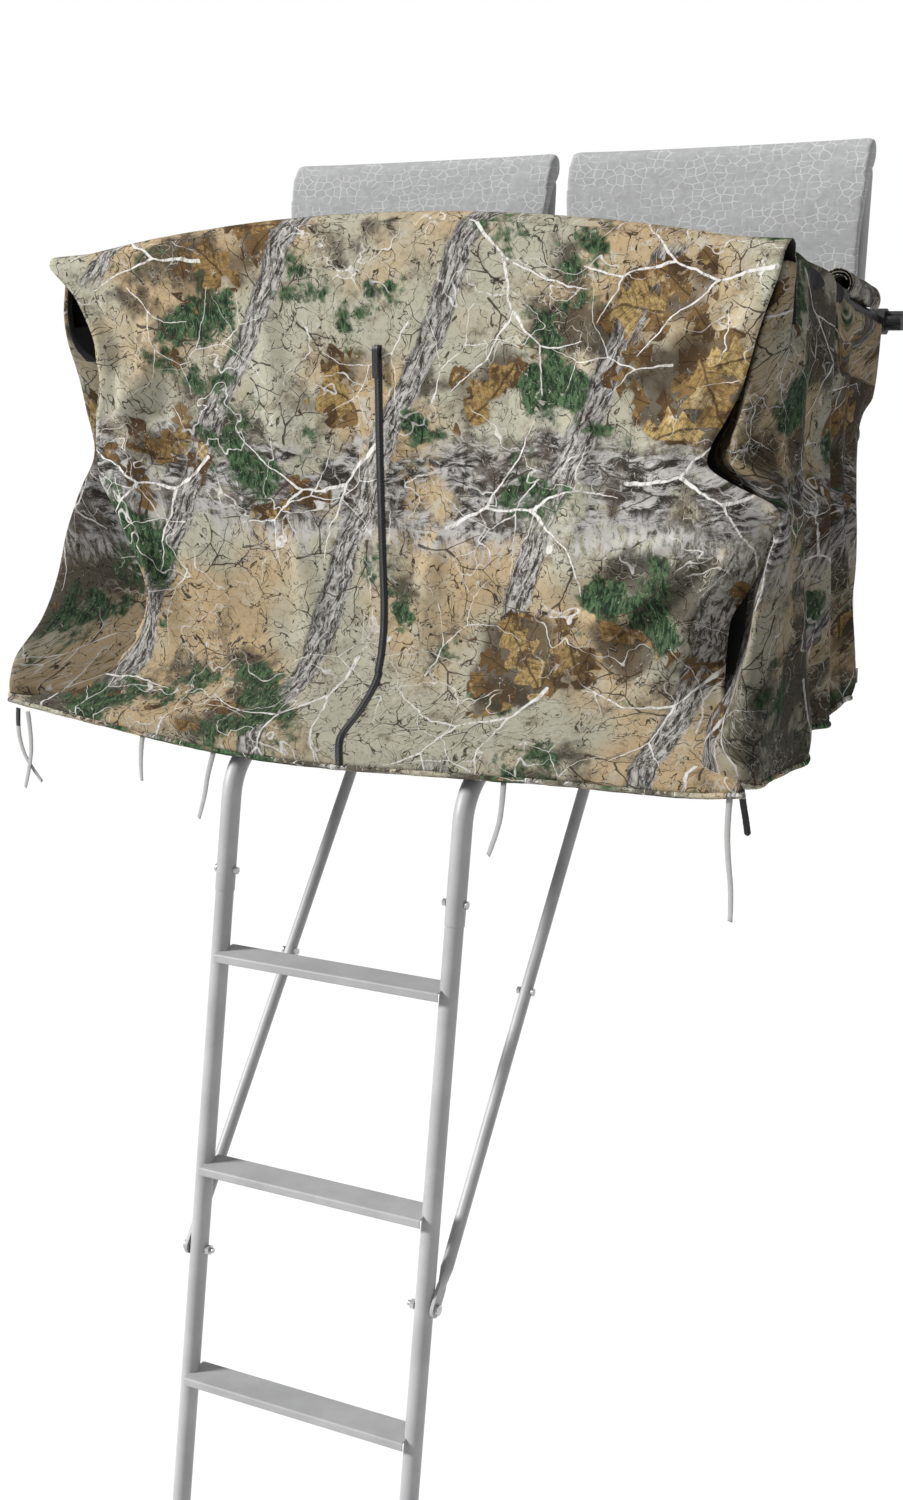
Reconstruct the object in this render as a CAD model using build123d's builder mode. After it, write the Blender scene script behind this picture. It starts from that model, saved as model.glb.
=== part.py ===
from build123d import *
import math
import os

os.makedirs("parts", exist_ok=True)

# Two-person ladder tree stand with a fabric blind. Millimetres, +Z up, +Y towards the trunk.
# The origin is where the trunk meets the tree cradle, at the height of the platform's lower tubes.

SIDES = (("left", -1), ("right", 1))
GAP = 0.1  # between faces that are welded or rest on each other
PIN_CLEARANCE = 0.05  # radial, in every turning or sliding fit

# Ladder
LEAN = math.radians(11.2)
FIRST_RUNG = Vector(0, -940, -300)
RUNG_PITCH = 330.8
RUNGS_PER_SECTION = 4
SECTION_LENGTH = RUNGS_PER_SECTION * RUNG_PITCH
JOINT_ABOVE_RUNG = 90.7
RAIL_X = 197
RAIL_R = 14
RAIL_BORE = 12.5
SPIGOT_R = 12.4
SPIGOT_BORE = 10.9
SPIGOT_LENGTH = 60
SPIGOT_ROOT = 12
RUNG_DEPTH = 54
RUNG_THICK = 14
RUNG_WALL = 2
RUNG_END = 191
FOOT_R = 18.5
FOOT_GRIP = 45
FOOT_SOLE = 10
GROUND_Z = -4116
JOINT_BOLT_R = 3.5
JOINT_BOLT_UP = 32

# Seat section and platform
NECK_R = 15
NECK_BORE = 12.6
NECK_BEND = 85
NECK_REAR_Y = -71
BRACE_R = 9.5
BRACE_BORE = 8
BRACE_FLAT = 5
BRACE_WIDTH = 25
BRACE_TOP = (-400, 0)
BRACE_RUNG_DISTANCE = -469
BRACE_BOLT_R = 4
DECK_TUBE = 25
DECK_WALL = 2
DECK_BOTTOM = 15.1
DECK_HALF_WIDTH = 545
DECK_FRONT_Y = -850
DECK_REAR_Y = -70
DECK_PLATE = 3
CROSS_TUBE_Y = (-782, -430)
STRAP_EAR_TOP = 100

# Backs and seats
FRAME_R = 11
FRAME_BORE = 9.2
BACK_X = (28, 528)
BACK_FOOT = (-82.5, 41.8)
BACK_KINK = (-140, 470)
BACK_TOP = (-83, 893)
PAD_X = (14, 542)
PAD_LOW = 560
PAD_THICK = 14
PIVOT_YZ = (-160, 440)
STOP_YZ = (-111, 440)
SEAT_R = 9.5
SEAT_BORE = 7.8
SEAT_X = (62, 498)
SEAT_REAR_Y = -100
SEAT_FRONT_Y = -540
SEAT_Z = 419
SEAT_BEND = 45
SLEEVE_R = 15
SLEEVE_LENGTH = 40
SEAT_PAD_THICK = 30
SEAT_PAD_GAP = 45

# Shooting rail
HUB = Vector(580, -200, 622)
HUB_R = 20
HUB_INNER_X = 559.3
HUB_OUTER_X = 600
PIVOT_R = 5
BRACKET_X = (555, 559)
STUB_Y = -119.5
CORNER = Vector(580, -735, 705)
ARCH_END = Vector(530, -735, 713.9)
ARCH_RISE = 46.4
ARM_R = 12.5
ARM_BORE = 11
ARM_BEND = 44
FOAM_R = 21
FOAM_BORE = 12.8
KNOB_R = 16
KNOB_OUTER_X = 625

# Blind: front panel's section is vertical, kicks out over the deck's front edge, then hangs as the hem
PANEL_Y = -760
KICK_Z = 150
HEM_Y = -899
HEM_TOP_Z = 60
PANEL_THICK = 6
PANEL_HALF_WIDTH = 607
SIDE_INNER_X = 602
SIDE_THICK = 5
PANEL_CORNER_Z = 716
PANEL_PEAK_Z = 783
HEM_CORNER_Z = 35
HEM_SAG = 35
ZIP_TOP = 600
ZIP_WIDTH = 12
TIE_WIDTH = 9
TIE_THICK = 1.5

# Tree fastening
TRUNK_Y = 110
STRAP_R = 110
STRAP_THICK = 2.5
STRAP_Z = (50, 88)
SPOOL = (111, 0)
SPOOL_R = 7
AXLE_R = 5
STAB_Z = -1860
STAB_PIVOT_Y = -1204
STAB_R = 12.5
STAB_BORE = 10.5
STAB_SPLIT_Y = -500


def save(part, label):
    part.label = label
    export_step(part, f"parts/{label}.step")


def on_ladder(distance, x=0):
    """The point that lies this far up the ladder's centre line from the first rung."""
    rise = Vector(0, math.sin(LEAN), math.cos(LEAN)) * distance
    return FIRST_RUNG + rise + Vector(x, 0, 0)


def across_ladder(distance, x):
    """The plane square to a rail, looking up the ladder."""
    up = (0, math.sin(LEAN), math.cos(LEAN))
    return Plane(origin=on_ladder(distance, x), x_dir=(1, 0, 0), z_dir=up)


def ring(radius, bore):
    Circle(radius)
    if bore:
        Circle(bore, mode=Mode.SUBTRACT)


def round_tube(start, end, radius, bore=0):
    along = Vector(end) - Vector(start)
    with BuildPart() as tube:
        with BuildSketch(Plane(origin=start, z_dir=along)):
            ring(radius, bore)
        extrude(amount=along.length)
    return tube.part


def bent_tube(points, bends, radius, bore=0):
    with BuildPart() as tube:
        with BuildLine() as route:
            FilletPolyline(*points, radius=bends)
        with BuildSketch(Plane(origin=route.line @ 0, z_dir=route.line % 0)):
            ring(radius, bore)
        sweep()
    return tube.part


def box_tube(start, end):
    """A square tube of the deck frame, between two points on its centre line."""
    along = Vector(end) - Vector(start)
    inside = DECK_TUBE - 2 * DECK_WALL
    with BuildPart() as tube:
        with BuildSketch(Plane(origin=start, x_dir=(0, 0, 1), z_dir=along)):
            Rectangle(DECK_TUBE, DECK_TUBE)
            Rectangle(inside, inside, mode=Mode.SUBTRACT)
        extrude(amount=along.length)
    return tube.part


# Ladder: three plug-together sections, each with two rails and its rungs


def section_ends(number):
    top = JOINT_ABOVE_RUNG - number * SECTION_LENGTH
    return top - SECTION_LENGTH, top


def brace_foot():
    return on_ladder(BRACE_RUNG_DISTANCE)


def make_rail(x, number):
    bottom, top = section_ends(number)
    pieces = (
        (bottom + GAP, top, RAIL_R, RAIL_BORE),
        (top - SPIGOT_ROOT, top, RAIL_R, SPIGOT_BORE),
        (top - SPIGOT_ROOT, top + SPIGOT_LENGTH, SPIGOT_R, SPIGOT_BORE),
    )
    with BuildPart() as rail:
        for low, high, radius, bore in pieces:
            with BuildSketch(across_ladder(low, x)):
                ring(radius, bore)
            extrude(amount=high - low)
        for joint in (bottom, top):
            with Locations(on_ladder(joint + JOINT_BOLT_UP, x)):
                Cylinder(JOINT_BOLT_R + GAP, 4 * RAIL_R, rotation=(0, 90, 0), mode=Mode.SUBTRACT)
        if number == 0:
            with Locations(brace_foot() + Vector(x, 0, 0)):
                Cylinder(BRACE_BOLT_R + GAP, 4 * RAIL_R, rotation=(0, 90, 0), mode=Mode.SUBTRACT)
    return rail.part


def make_rungs(number):
    """Channel steps that stay level, with their ends cut to the rails."""
    first = -number * RUNGS_PER_SECTION
    with BuildPart() as rungs:
        for step in range(RUNGS_PER_SECTION):
            centre = on_ladder((first - step) * RUNG_PITCH)
            with BuildSketch(Plane.YZ.offset(-RUNG_END)):
                with Locations((centre.Y, centre.Z - RUNG_THICK / 2)):
                    RectangleRounded(RUNG_DEPTH, RUNG_THICK, 3)
                with Locations((centre.Y, centre.Z - RUNG_THICK / 2 - RUNG_WALL)):
                    Rectangle(RUNG_DEPTH - 2 * RUNG_WALL, RUNG_THICK, mode=Mode.SUBTRACT)
            extrude(amount=2 * RUNG_END)
        low, high = section_ends(number)
        for x in (-RAIL_X, RAIL_X):
            with BuildSketch(across_ladder(low, x)):
                Circle(RAIL_R + GAP)
            extrude(amount=high - low, mode=Mode.SUBTRACT)
    return rungs.part


def make_feet():
    """Rubber boots on the rails' lower ends, cut level where they stand on the ground."""
    end = section_ends(2)[0]
    with BuildPart() as feet:
        for x in (-RAIL_X, RAIL_X):
            with BuildSketch(across_ladder(end + FOOT_GRIP, x)):
                Circle(FOOT_R)
            extrude(amount=-FOOT_GRIP - 2 * FOOT_R)
            with BuildSketch(across_ladder(end, x)):
                Circle(RAIL_R + GAP)
            extrude(amount=FOOT_GRIP + FOOT_SOLE, mode=Mode.SUBTRACT)
        with BuildSketch(Plane.XY.offset(GROUND_Z)):
            with Locations((0, on_ladder(end).Y)):
                Rectangle(4 * RAIL_X, 8 * FOOT_R)
        extrude(amount=-8 * FOOT_R, mode=Mode.SUBTRACT)
    return feet.part


def make_bolts(centres, radius, head_r, inner_x, outer_x, tail):
    """Bolts along X: a round head outside, a nut inside and the thread's end past the nut."""
    with BuildPart() as bolts:
        for centre, side in centres:
            spans = (
                (radius, inner_x - tail, outer_x),
                (head_r, outer_x, outer_x + 0.6 * head_r),
            )
            for r, near, far in spans:
                with BuildSketch(Plane(origin=(side * near, centre.Y, centre.Z), z_dir=(side, 0, 0))):
                    Circle(r)
                extrude(amount=far - near)
            nut = Plane(origin=(side * inner_x, centre.Y, centre.Z), z_dir=(-side, 0, 0))
            with BuildSketch(nut):
                RegularPolygon(head_r, 6)
            extrude(amount=radius * 1.6)
    return bolts.part


for name, side in SIDES:
    for number, level in enumerate(("upper", "middle", "lower")):
        save(make_rail(side * RAIL_X, number), f"ladder_rail_{name}_{level}")
for number, level in enumerate(("upper", "middle", "lower")):
    save(make_rungs(number), f"rungs_{level}")
save(make_feet(), "ladder_feet")

joints = [section_ends(number)[1] + JOINT_BOLT_UP for number in range(3)]
joint_bolts = [(on_ladder(distance), side) for distance in joints for _, side in SIDES]
joint_half = NECK_R + GAP
save(
    make_bolts(joint_bolts, JOINT_BOLT_R, 6, RAIL_X - joint_half, RAIL_X + joint_half, 5),
    "ladder_joint_bolts",
)


# Seat section: bent tubes that plug onto the ladder and run back under the deck


def make_gooseneck(x):
    start = on_ladder(JOINT_ABOVE_RUNG + GAP, x)
    corner = on_ladder(-FIRST_RUNG.Z / math.cos(LEAN), x)
    with BuildPart() as neck:
        with BuildLine() as route:
            FilletPolyline(start, corner, (x, NECK_REAR_Y, 0), radius=NECK_BEND)
        with BuildSketch(Plane(origin=route.line @ 0, z_dir=route.line % 0)):
            ring(NECK_R, NECK_BORE)
        sweep()
        with Locations(on_ladder(JOINT_ABOVE_RUNG + JOINT_BOLT_UP, x)):
            Cylinder(JOINT_BOLT_R + GAP, 4 * NECK_R, rotation=(0, 90, 0), mode=Mode.SUBTRACT)
        with Locations((x, *BRACE_TOP)):
            Cylinder(BRACE_BOLT_R + GAP, 4 * NECK_R, rotation=(0, 90, 0), mode=Mode.SUBTRACT)
    return neck.part


BRACE_X = RAIL_X + NECK_R + GAP  # the inner face of a brace's flattened ends


def make_brace(side):
    """A tube whose ends are pressed flat and bolted to the outside of the ladder and the gooseneck."""
    middle_x = side * (BRACE_X + BRACE_FLAT / 2)
    foot = Vector(middle_x, brace_foot().Y, brace_foot().Z)
    head = Vector(middle_x, *BRACE_TOP)
    along = (head - foot).normalized()
    squeeze = 60
    with BuildPart() as brace:
        with BuildSketch(Plane(origin=foot + along * squeeze, x_dir=(1, 0, 0), z_dir=along)):
            ring(BRACE_R, BRACE_BORE)
        extrude(amount=(head - foot).length - 2 * squeeze)
        for end, inward in ((foot, along), (head, -along)):
            for distance in (squeeze, squeeze / 2):
                with BuildSketch(Plane(origin=end + inward * distance, x_dir=(1, 0, 0), z_dir=inward)):
                    if distance == squeeze:
                        Circle(BRACE_R)
                    else:
                        Ellipse(BRACE_FLAT / 2 + 0.5, BRACE_WIDTH / 2)
            loft()
            tongue = Plane(origin=end - Vector(BRACE_FLAT / 2, 0, 0), x_dir=inward, z_dir=(1, 0, 0))
            with BuildSketch(tongue):
                with Locations((squeeze / 4, 0)):
                    SlotOverall(squeeze / 2 + BRACE_WIDTH, BRACE_WIDTH)
                Circle(BRACE_BOLT_R + GAP, mode=Mode.SUBTRACT)
            extrude(amount=BRACE_FLAT)
        with Locations((foot + head) / 2):
            Cylinder(BRACE_BOLT_R - 0.9, 4 * BRACE_R, rotation=(0, 90, 0), mode=Mode.SUBTRACT)
    return brace.part


def make_brace_bolts():
    """Bolts at both ends of each brace, and one across the middle of each."""
    head_x = BRACE_X + BRACE_FLAT + GAP
    rail_inner = RAIL_X - RAIL_R - GAP
    neck_inner = RAIL_X - NECK_R - GAP
    head = Vector(0, *BRACE_TOP)
    middle = (brace_foot() + head) / 2
    middle_x = BRACE_X + BRACE_FLAT / 2
    rows = (
        (brace_foot(), BRACE_BOLT_R, 8, rail_inner, head_x, 12),
        (head, BRACE_BOLT_R, 8, neck_inner, head_x, 6),
        (middle, 3, 6, middle_x - BRACE_R - GAP, middle_x + BRACE_R + GAP, 3),
    )
    with BuildPart() as bolts:
        for centre, radius, head_r, inner_x, outer_x, tail in rows:
            pairs = [(centre, side) for _, side in SIDES]
            add(make_bolts(pairs, radius, head_r, inner_x, outer_x, tail))
    return bolts.part


for name, side in SIDES:
    save(make_gooseneck(side * RAIL_X), f"gooseneck_{name}")
    save(make_brace(side), f"brace_{name}")
save(make_brace_bolts(), "brace_bolts")


# Platform: a square-tube frame on the goosenecks, cross tubes and a perforated deck

DECK_MID_Z = DECK_BOTTOM + DECK_TUBE / 2
FRONT_TUBE_Y = DECK_FRONT_Y + DECK_TUBE / 2
REAR_TUBE_Y = DECK_REAR_Y - DECK_TUBE / 2
SIDE_TUBE_X = DECK_HALF_WIDTH - DECK_TUBE / 2


def cross_piece(y, half):
    return box_tube((-half, y, DECK_MID_Z), (half, y, DECK_MID_Z))


def make_rear_tube():
    """The rear cross tube, with the two ears that the tree strap pulls on."""
    with BuildPart() as tube:
        add(cross_piece(REAR_TUBE_Y, DECK_HALF_WIDTH))
        for _, side in SIDES:
            ear_height = STRAP_EAR_TOP - DECK_BOTTOM - DECK_TUBE
            with Locations((side * STRAP_R, DECK_REAR_Y - 3, STRAP_EAR_TOP - ear_height / 2)):
                Box(30, 6, ear_height)
    return tube.part


def make_side_tubes():
    with BuildPart() as tubes:
        for _, side in SIDES:
            x = side * SIDE_TUBE_X
            start = (x, DECK_FRONT_Y + DECK_TUBE + GAP, DECK_MID_Z)
            add(box_tube(start, (x, DECK_REAR_Y - DECK_TUBE - GAP, DECK_MID_Z)))
    return tubes.part


def make_cross_tubes():
    half = DECK_HALF_WIDTH - DECK_TUBE - GAP
    with BuildPart() as tubes:
        for y in CROSS_TUBE_Y:
            add(cross_piece(y, half))
    return tubes.part


def make_deck():
    middle = (DECK_FRONT_Y + BACK_FOOT[0] - FRAME_R - 3) / 2
    depth = BACK_FOOT[0] - FRAME_R - 3 - DECK_FRONT_Y
    with BuildPart() as deck:
        with BuildSketch(Plane.XY.offset(DECK_BOTTOM + DECK_TUBE + GAP)):
            with Locations((0, middle)):
                Rectangle(2 * DECK_HALF_WIDTH, depth)
                with GridLocations(80, 42, 13, 17):
                    SlotOverall(64, 26, mode=Mode.SUBTRACT)
        extrude(amount=DECK_PLATE)
    return deck.part


save(cross_piece(FRONT_TUBE_Y, DECK_HALF_WIDTH), "platform_front_tube")
save(make_rear_tube(), "platform_rear_tube")
save(make_side_tubes(), "platform_side_tubes")
save(make_cross_tubes(), "platform_cross_tubes")
save(make_deck(), "platform_deck")


# Backs: an inverted U of tube behind each pad


def make_back_frame(side):
    inner, outer = (side * x for x in BACK_X)
    leg = (BACK_FOOT, BACK_KINK, BACK_TOP)
    points = [(inner, *yz) for yz in leg] + [(outer, *yz) for yz in reversed(leg)]
    return bent_tube(points, [150, 45, 45, 150], FRAME_R, FRAME_BORE)


def make_back_pad(side):
    """A flat pad that stands just in front of the back frame, in the plane of its upper legs."""
    top = Vector(0, *BACK_TOP)
    up = (top - Vector(0, *BACK_KINK)).normalized()
    front = Vector(0, -up.Z, up.Y)
    height = BACK_TOP[1] + FRAME_R - PAD_LOW
    centre = top + up * FRAME_R - up * (height / 2) + front * (FRAME_R + 0.5)
    middle_x = side * sum(PAD_X) / 2
    with BuildPart() as pad:
        with BuildSketch(Plane(origin=centre + Vector(middle_x, 0, 0), x_dir=(1, 0, 0), z_dir=front)):
            RectangleRounded(PAD_X[1] - PAD_X[0], height, 12)
        extrude(amount=PAD_THICK)
    return pad.part


for name, side in SIDES:
    save(make_back_frame(side), f"back_frame_{name}")
    save(make_back_pad(side), f"back_pad_{name}")


# Seats: they hinge on the front cross tube, and their tails come up under the rear one


def make_seat_tubes():
    reach = BACK_X[1] + FRAME_R
    with BuildPart() as tubes:
        for y, z in (PIVOT_YZ, STOP_YZ):
            add(round_tube((-reach, y, z), (reach, y, z), FRAME_R, FRAME_BORE))
    return tubes.part


def make_seat_frame(side):
    inner, outer = (side * x for x in SEAT_X)
    points = (
        (inner, SEAT_REAR_Y, SEAT_Z),
        (inner, SEAT_FRONT_Y, SEAT_Z),
        (outer, SEAT_FRONT_Y, SEAT_Z),
        (outer, SEAT_REAR_Y, SEAT_Z),
    )
    with BuildPart() as frame:
        add(bent_tube(points, [SEAT_BEND, SEAT_BEND], SEAT_R, SEAT_BORE))
        with Locations(*((x, *PIVOT_YZ) for x in (inner, outer))):
            Cylinder(SLEEVE_R, SLEEVE_LENGTH, rotation=(0, 90, 0))
            Cylinder(
                FRAME_R + PIN_CLEARANCE, 2 * SLEEVE_LENGTH, rotation=(0, 90, 0), mode=Mode.SUBTRACT
            )
    return frame.part


def make_seat_pad(side):
    rear = PIVOT_YZ[0] - SEAT_PAD_GAP
    depth = rear - SEAT_FRONT_Y
    width = SEAT_X[1] - SEAT_X[0] + 2 * SEAT_R
    with BuildPart() as pad:
        with BuildSketch(Plane.XY.offset(SEAT_Z + SEAT_R + 0.5)):
            with Locations((side * sum(SEAT_X) / 2, rear - depth / 2)):
                RectangleRounded(width, depth, 30)
        extrude(amount=SEAT_PAD_THICK)
    return pad.part


save(make_seat_tubes(), "seat_cross_tubes")
for name, side in SIDES:
    save(make_seat_frame(side), f"seat_frame_{name}")
    save(make_seat_pad(side), f"seat_pad_{name}")


# Shooting rail: brackets on the outer back legs, pivot bolts, knobs, arms and the arched front tube


def along_x(side, near, far, y, z):
    """A plane at the nearer end of something that runs outwards along X, and its length."""
    return Plane(origin=(side * near, y, z), z_dir=(side, 0, 0)), far - near


def make_rail_bracket(side):
    stub, length = along_x(side, BACK_X[1] + FRAME_R + GAP, BRACKET_X[0], STUB_Y, HUB.Z)
    plate = Plane(origin=(side * BRACKET_X[0], 0, 0), x_dir=(0, 1, 0), z_dir=(side, 0, 0))
    with BuildPart() as bracket:
        with BuildSketch(stub):
            Circle(FRAME_R)
        extrude(amount=length)
        with BuildSketch(plate):
            with Locations(((STUB_Y + HUB.Y) / 2, side * HUB.Z)):
                SlotCenterToCenter(STUB_Y - HUB.Y, 2 * HUB_R)
        extrude(amount=BRACKET_X[1] - BRACKET_X[0])
        with Locations((side * BRACKET_X[0], HUB.Y, HUB.Z)):
            Cylinder(PIVOT_R + PIN_CLEARANCE, 40, rotation=(0, 90, 0), mode=Mode.SUBTRACT)
    return bracket.part


def make_pivot_bolts():
    with BuildPart() as bolts:
        for _, side in SIDES:
            inner = BRACKET_X[0] - GAP
            for radius, near, far in ((9, inner - 6, inner), (PIVOT_R, inner, HUB_OUTER_X + 18)):
                plane, length = along_x(side, near, far, HUB.Y, HUB.Z)
                with BuildSketch(plane):
                    Circle(radius)
                extrude(amount=length)
    return bolts.part


def make_knob(side):
    """A five-lobed knob on the pivot bolt's outer end."""
    plane, length = along_x(side, HUB_OUTER_X + 0.5, KNOB_OUTER_X, HUB.Y, HUB.Z)
    with BuildPart() as knob:
        with BuildSketch(plane):
            Circle(KNOB_R - 5)
            with PolarLocations(KNOB_R - 5, 5):
                Circle(5)
        extrude(amount=length)
        with BuildSketch(plane):
            Circle(PIVOT_R + PIN_CLEARANCE)
        extrude(amount=HUB_OUTER_X + 18.5 - HUB_OUTER_X, mode=Mode.SUBTRACT)
    return knob.part


def make_arm(side):
    forward = (CORNER - HUB).normalized()
    points = [HUB + forward * 8, CORNER, ARCH_END]
    mirrored = [(side * point.X, point.Y, point.Z) for point in points]
    plane, length = along_x(side, HUB_INNER_X, HUB_OUTER_X, HUB.Y, HUB.Z)
    with BuildPart() as arm:
        add(bent_tube(mirrored, [ARM_BEND], ARM_R, ARM_BORE))
        with BuildSketch(plane):
            Circle(HUB_R)
        extrude(amount=length)
        with BuildSketch(plane):
            Circle(PIVOT_R + PIN_CLEARANCE)
        extrude(amount=length, mode=Mode.SUBTRACT)
    return arm.part


def arch_tube(half, radius, bore):
    """A length of the arched front tube, from -half to half along X."""
    end = ARCH_END.X
    big_r = (end**2 + ARCH_RISE**2) / (2 * ARCH_RISE)
    peak = ARCH_END.Z + ARCH_RISE
    drop = big_r - math.sqrt(big_r**2 - half**2)
    with BuildPart() as tube:
        with BuildLine() as route:
            ThreePointArc(
                (-half, ARCH_END.Y, peak - drop), (0, ARCH_END.Y, peak), (half, ARCH_END.Y, peak - drop)
            )
        with BuildSketch(Plane(origin=route.line @ 0, z_dir=route.line % 0)):
            ring(radius, bore)
        sweep()
    return tube.part


def make_foam():
    """Foam sleeves: one along the arch, and one on the front half of each arm."""
    forward = (CORNER - HUB).normalized()
    with BuildPart() as foam:
        add(arch_tube(ARCH_END.X - 12, FOAM_R, FOAM_BORE))
        for _, side in SIDES:
            ends = [HUB + forward * distance for distance in (250, 480)]
            start, end = ((side * point.X, point.Y, point.Z) for point in ends)
            add(round_tube(start, end, FOAM_R, FOAM_BORE))
    return foam.part


for name, side in SIDES:
    save(make_rail_bracket(side), f"rail_bracket_{name}")
    save(make_knob(side), f"rail_knob_{name}")
    save(make_arm(side), f"rail_arm_{name}")
save(make_pivot_bolts(), "rail_pivot_bolts")
save(arch_tube(ARCH_END.X - GAP, ARM_R, ARM_BORE), "rail_front_tube")
save(make_foam(), "rail_foam")


# Blind: three fabric panels that hang from the shooting rail


def blind_line(shift, top, bottom):
    """The front panel's section, moved outwards by shift."""
    kick = math.atan2(PANEL_Y - HEM_Y, KICK_Z - HEM_TOP_Z)
    rise = shift * math.tan(kick / 2)
    return [
        (PANEL_Y - shift, top),
        (PANEL_Y - shift, KICK_Z + rise),
        (HEM_Y - shift, HEM_TOP_Z + rise),
        (HEM_Y - shift, bottom),
    ]


def blind_band(inner, outer, top, bottom):
    """The closed outline of a strip between two shifts of the section."""
    Polygon(*blind_line(inner, top, bottom), *reversed(blind_line(outer, top, bottom)), align=None)


def hem_z(x):
    return HEM_CORNER_Z - HEM_SAG * (1 - (x / PANEL_HALF_WIDTH) ** 2)


def make_blind_front():
    half = PANEL_HALF_WIDTH
    edges = (
        (PANEL_CORNER_Z, PANEL_PEAK_Z, PANEL_PEAK_Z + 20),
        (HEM_CORNER_Z, HEM_CORNER_Z - HEM_SAG, HEM_CORNER_Z - HEM_SAG - 20),
    )
    with BuildPart() as panel:
        with BuildSketch(Plane.YZ):
            blind_band(-PANEL_THICK / 2, PANEL_THICK / 2, PANEL_PEAK_Z + 5, HEM_CORNER_Z - HEM_SAG - 5)
        extrude(amount=half, both=True)
        for corner, middle, beyond in edges:
            with BuildSketch(Plane.XZ.offset(-PANEL_Y - 50)):
                with BuildLine():
                    ThreePointArc((-half - 1, corner), (0, middle), (half + 1, corner))
                    Polyline(
                        (half + 1, corner), (half + 1, beyond), (-half - 1, beyond), (-half - 1, corner)
                    )
                make_face()
            extrude(amount=300, mode=Mode.SUBTRACT)
    return panel.part


def make_blind_side(side):
    """A side panel that hangs from the arm, behind the front panel's edge."""
    inner = blind_line(-5, PANEL_CORNER_Z - 6, HEM_CORNER_Z + 2)
    outline = (
        *inner,
        (-800, 6),
        (-713, -15),
        (-520, 0),
        (-383, 28),
        (-294, 507),
        (-240, 590),
        (-240, 650),
        (-720, PANEL_CORNER_Z + 6),
    )
    with BuildPart() as panel:
        with BuildSketch(Plane.YZ.offset(side * SIDE_INNER_X)):
            Polygon(*outline, align=None)
        extrude(amount=side * SIDE_THICK)
    return panel.part


def make_zipper_tape():
    with BuildPart() as tape:
        with BuildSketch(Plane.YZ):
            blind_band(PANEL_THICK / 2 + 0.2, PANEL_THICK / 2 + 2.2, ZIP_TOP, 2)
        extrude(amount=ZIP_WIDTH / 2, both=True)
    return tape.part


def make_zipper_slider():
    """The slider's body in front of the tape, with its pull hanging from a bridge."""
    front = PANEL_Y - PANEL_THICK / 2 - 2.5
    profile = (
        (front, ZIP_TOP - 2),
        (front - 6, ZIP_TOP - 2),
        (front - 8, ZIP_TOP - 6),
        (front - 8, ZIP_TOP - 48),
        (front - 6, ZIP_TOP - 48),
        (front - 6, ZIP_TOP - 12),
        (front - 4, ZIP_TOP - 16),
        (front, ZIP_TOP - 16),
    )
    with BuildPart() as slider:
        with BuildSketch(Plane.YZ):
            Polygon(*profile, align=None)
        extrude(amount=4.5, both=True)
    return slider.part


save(make_blind_front(), "blind_front")
for name, side in SIDES:
    save(make_blind_side(side), f"blind_side_{name}")
save(make_zipper_tape(), "zipper_tape")
save(make_zipper_slider(), "zipper_slider")


# Ties: flat fabric tapes that hang from the hem, each on a route of straight runs and arcs


def arc_radii(points):
    """The largest arc that each corner's two runs leave room for."""
    radii = []
    for before, corner, after in zip(points, points[1:], points[2:]):
        first = Vector(corner) - Vector(before)
        second = Vector(after) - Vector(corner)
        half_turn = math.radians(first.get_angle(second)) / 2
        radii.append(0.45 * min(first.length, second.length) / math.tan(half_turn))
    return radii


def make_ribbon(label, points, flat_towards):
    radii = arc_radii(points)
    with BuildPart() as ribbon:
        with BuildLine() as route:
            FilletPolyline(*points, radius=radii)
        start = Plane(origin=route.line @ 0, x_dir=flat_towards, z_dir=route.line % 0)
        with BuildSketch(start):
            Rectangle(TIE_THICK, TIE_WIDTH)
        sweep()
    length = sum(edge.length for edge in route.edges())
    ratio = ribbon.part.volume / (TIE_THICK * TIE_WIDTH * length)
    print(label, "length", round(length, 1), "radii", [round(r) for r in radii], "ratio", round(ratio, 4))
    save(ribbon.part, label)


# Each tie's depth on the hem, then its route seen from the front, from the hem down.
TIES = {
    "tie_corner_rear": (-897, ((-600, 32), (-604, 3), (-599, -33), (-585, -60), (-561, -86))),
    "tie_corner_front": (-901, ((-578, 29), (-573, -16), (-580, -60), (-593, -98))),
    "tie_left_short": (-899, ((-355, 10), (-363, -24), (-361, -62))),
    "tie_left_long": (-899, ((-222, 2), (-236, -36), (-243, -75), (-256, -110))),
    "tie_middle": (-899, ((265, 4), (262, -32), (256, -66), (240, -106))),
    "tie_right_long": (-899, ((596, 31), (592, -18), (595, -68), (601, -112), (600, -152))),
}
for label, (depth, route) in TIES.items():
    make_ribbon(label, [(x, depth, z) for x, z in route], (0, 1, 0))
STRAP_END_X = SIDE_INNER_X + SIDE_THICK / 2
strap_end_route = ((-880, 27), (-870, 4), (-856, -21), (-846, -46))
make_ribbon("strap_end", [(STRAP_END_X, y, z) for y, z in strap_end_route], (1, 0, 0))


# Tree fastening: cradle with teeth, strap round the trunk, ratchet


def toothed_edge(half, vertex_y, end_y, teeth):
    """Points along a V from its right end to its left end, with teeth that stand into the V."""
    points = []
    for side in (1, -1):
        steps = range(teeth, 0, -1) if side == 1 else range(teeth + 1)
        for step in steps:
            share = step / teeth
            points.append((side * half * share, vertex_y + (end_y - vertex_y) * share))
            if step not in (0, teeth) or side == 1:
                tip = share - 0.5 / teeth if side == 1 else share + 0.5 / teeth
                points.append((side * half * tip, vertex_y + (end_y - vertex_y) * tip + 7))
    return points


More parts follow.
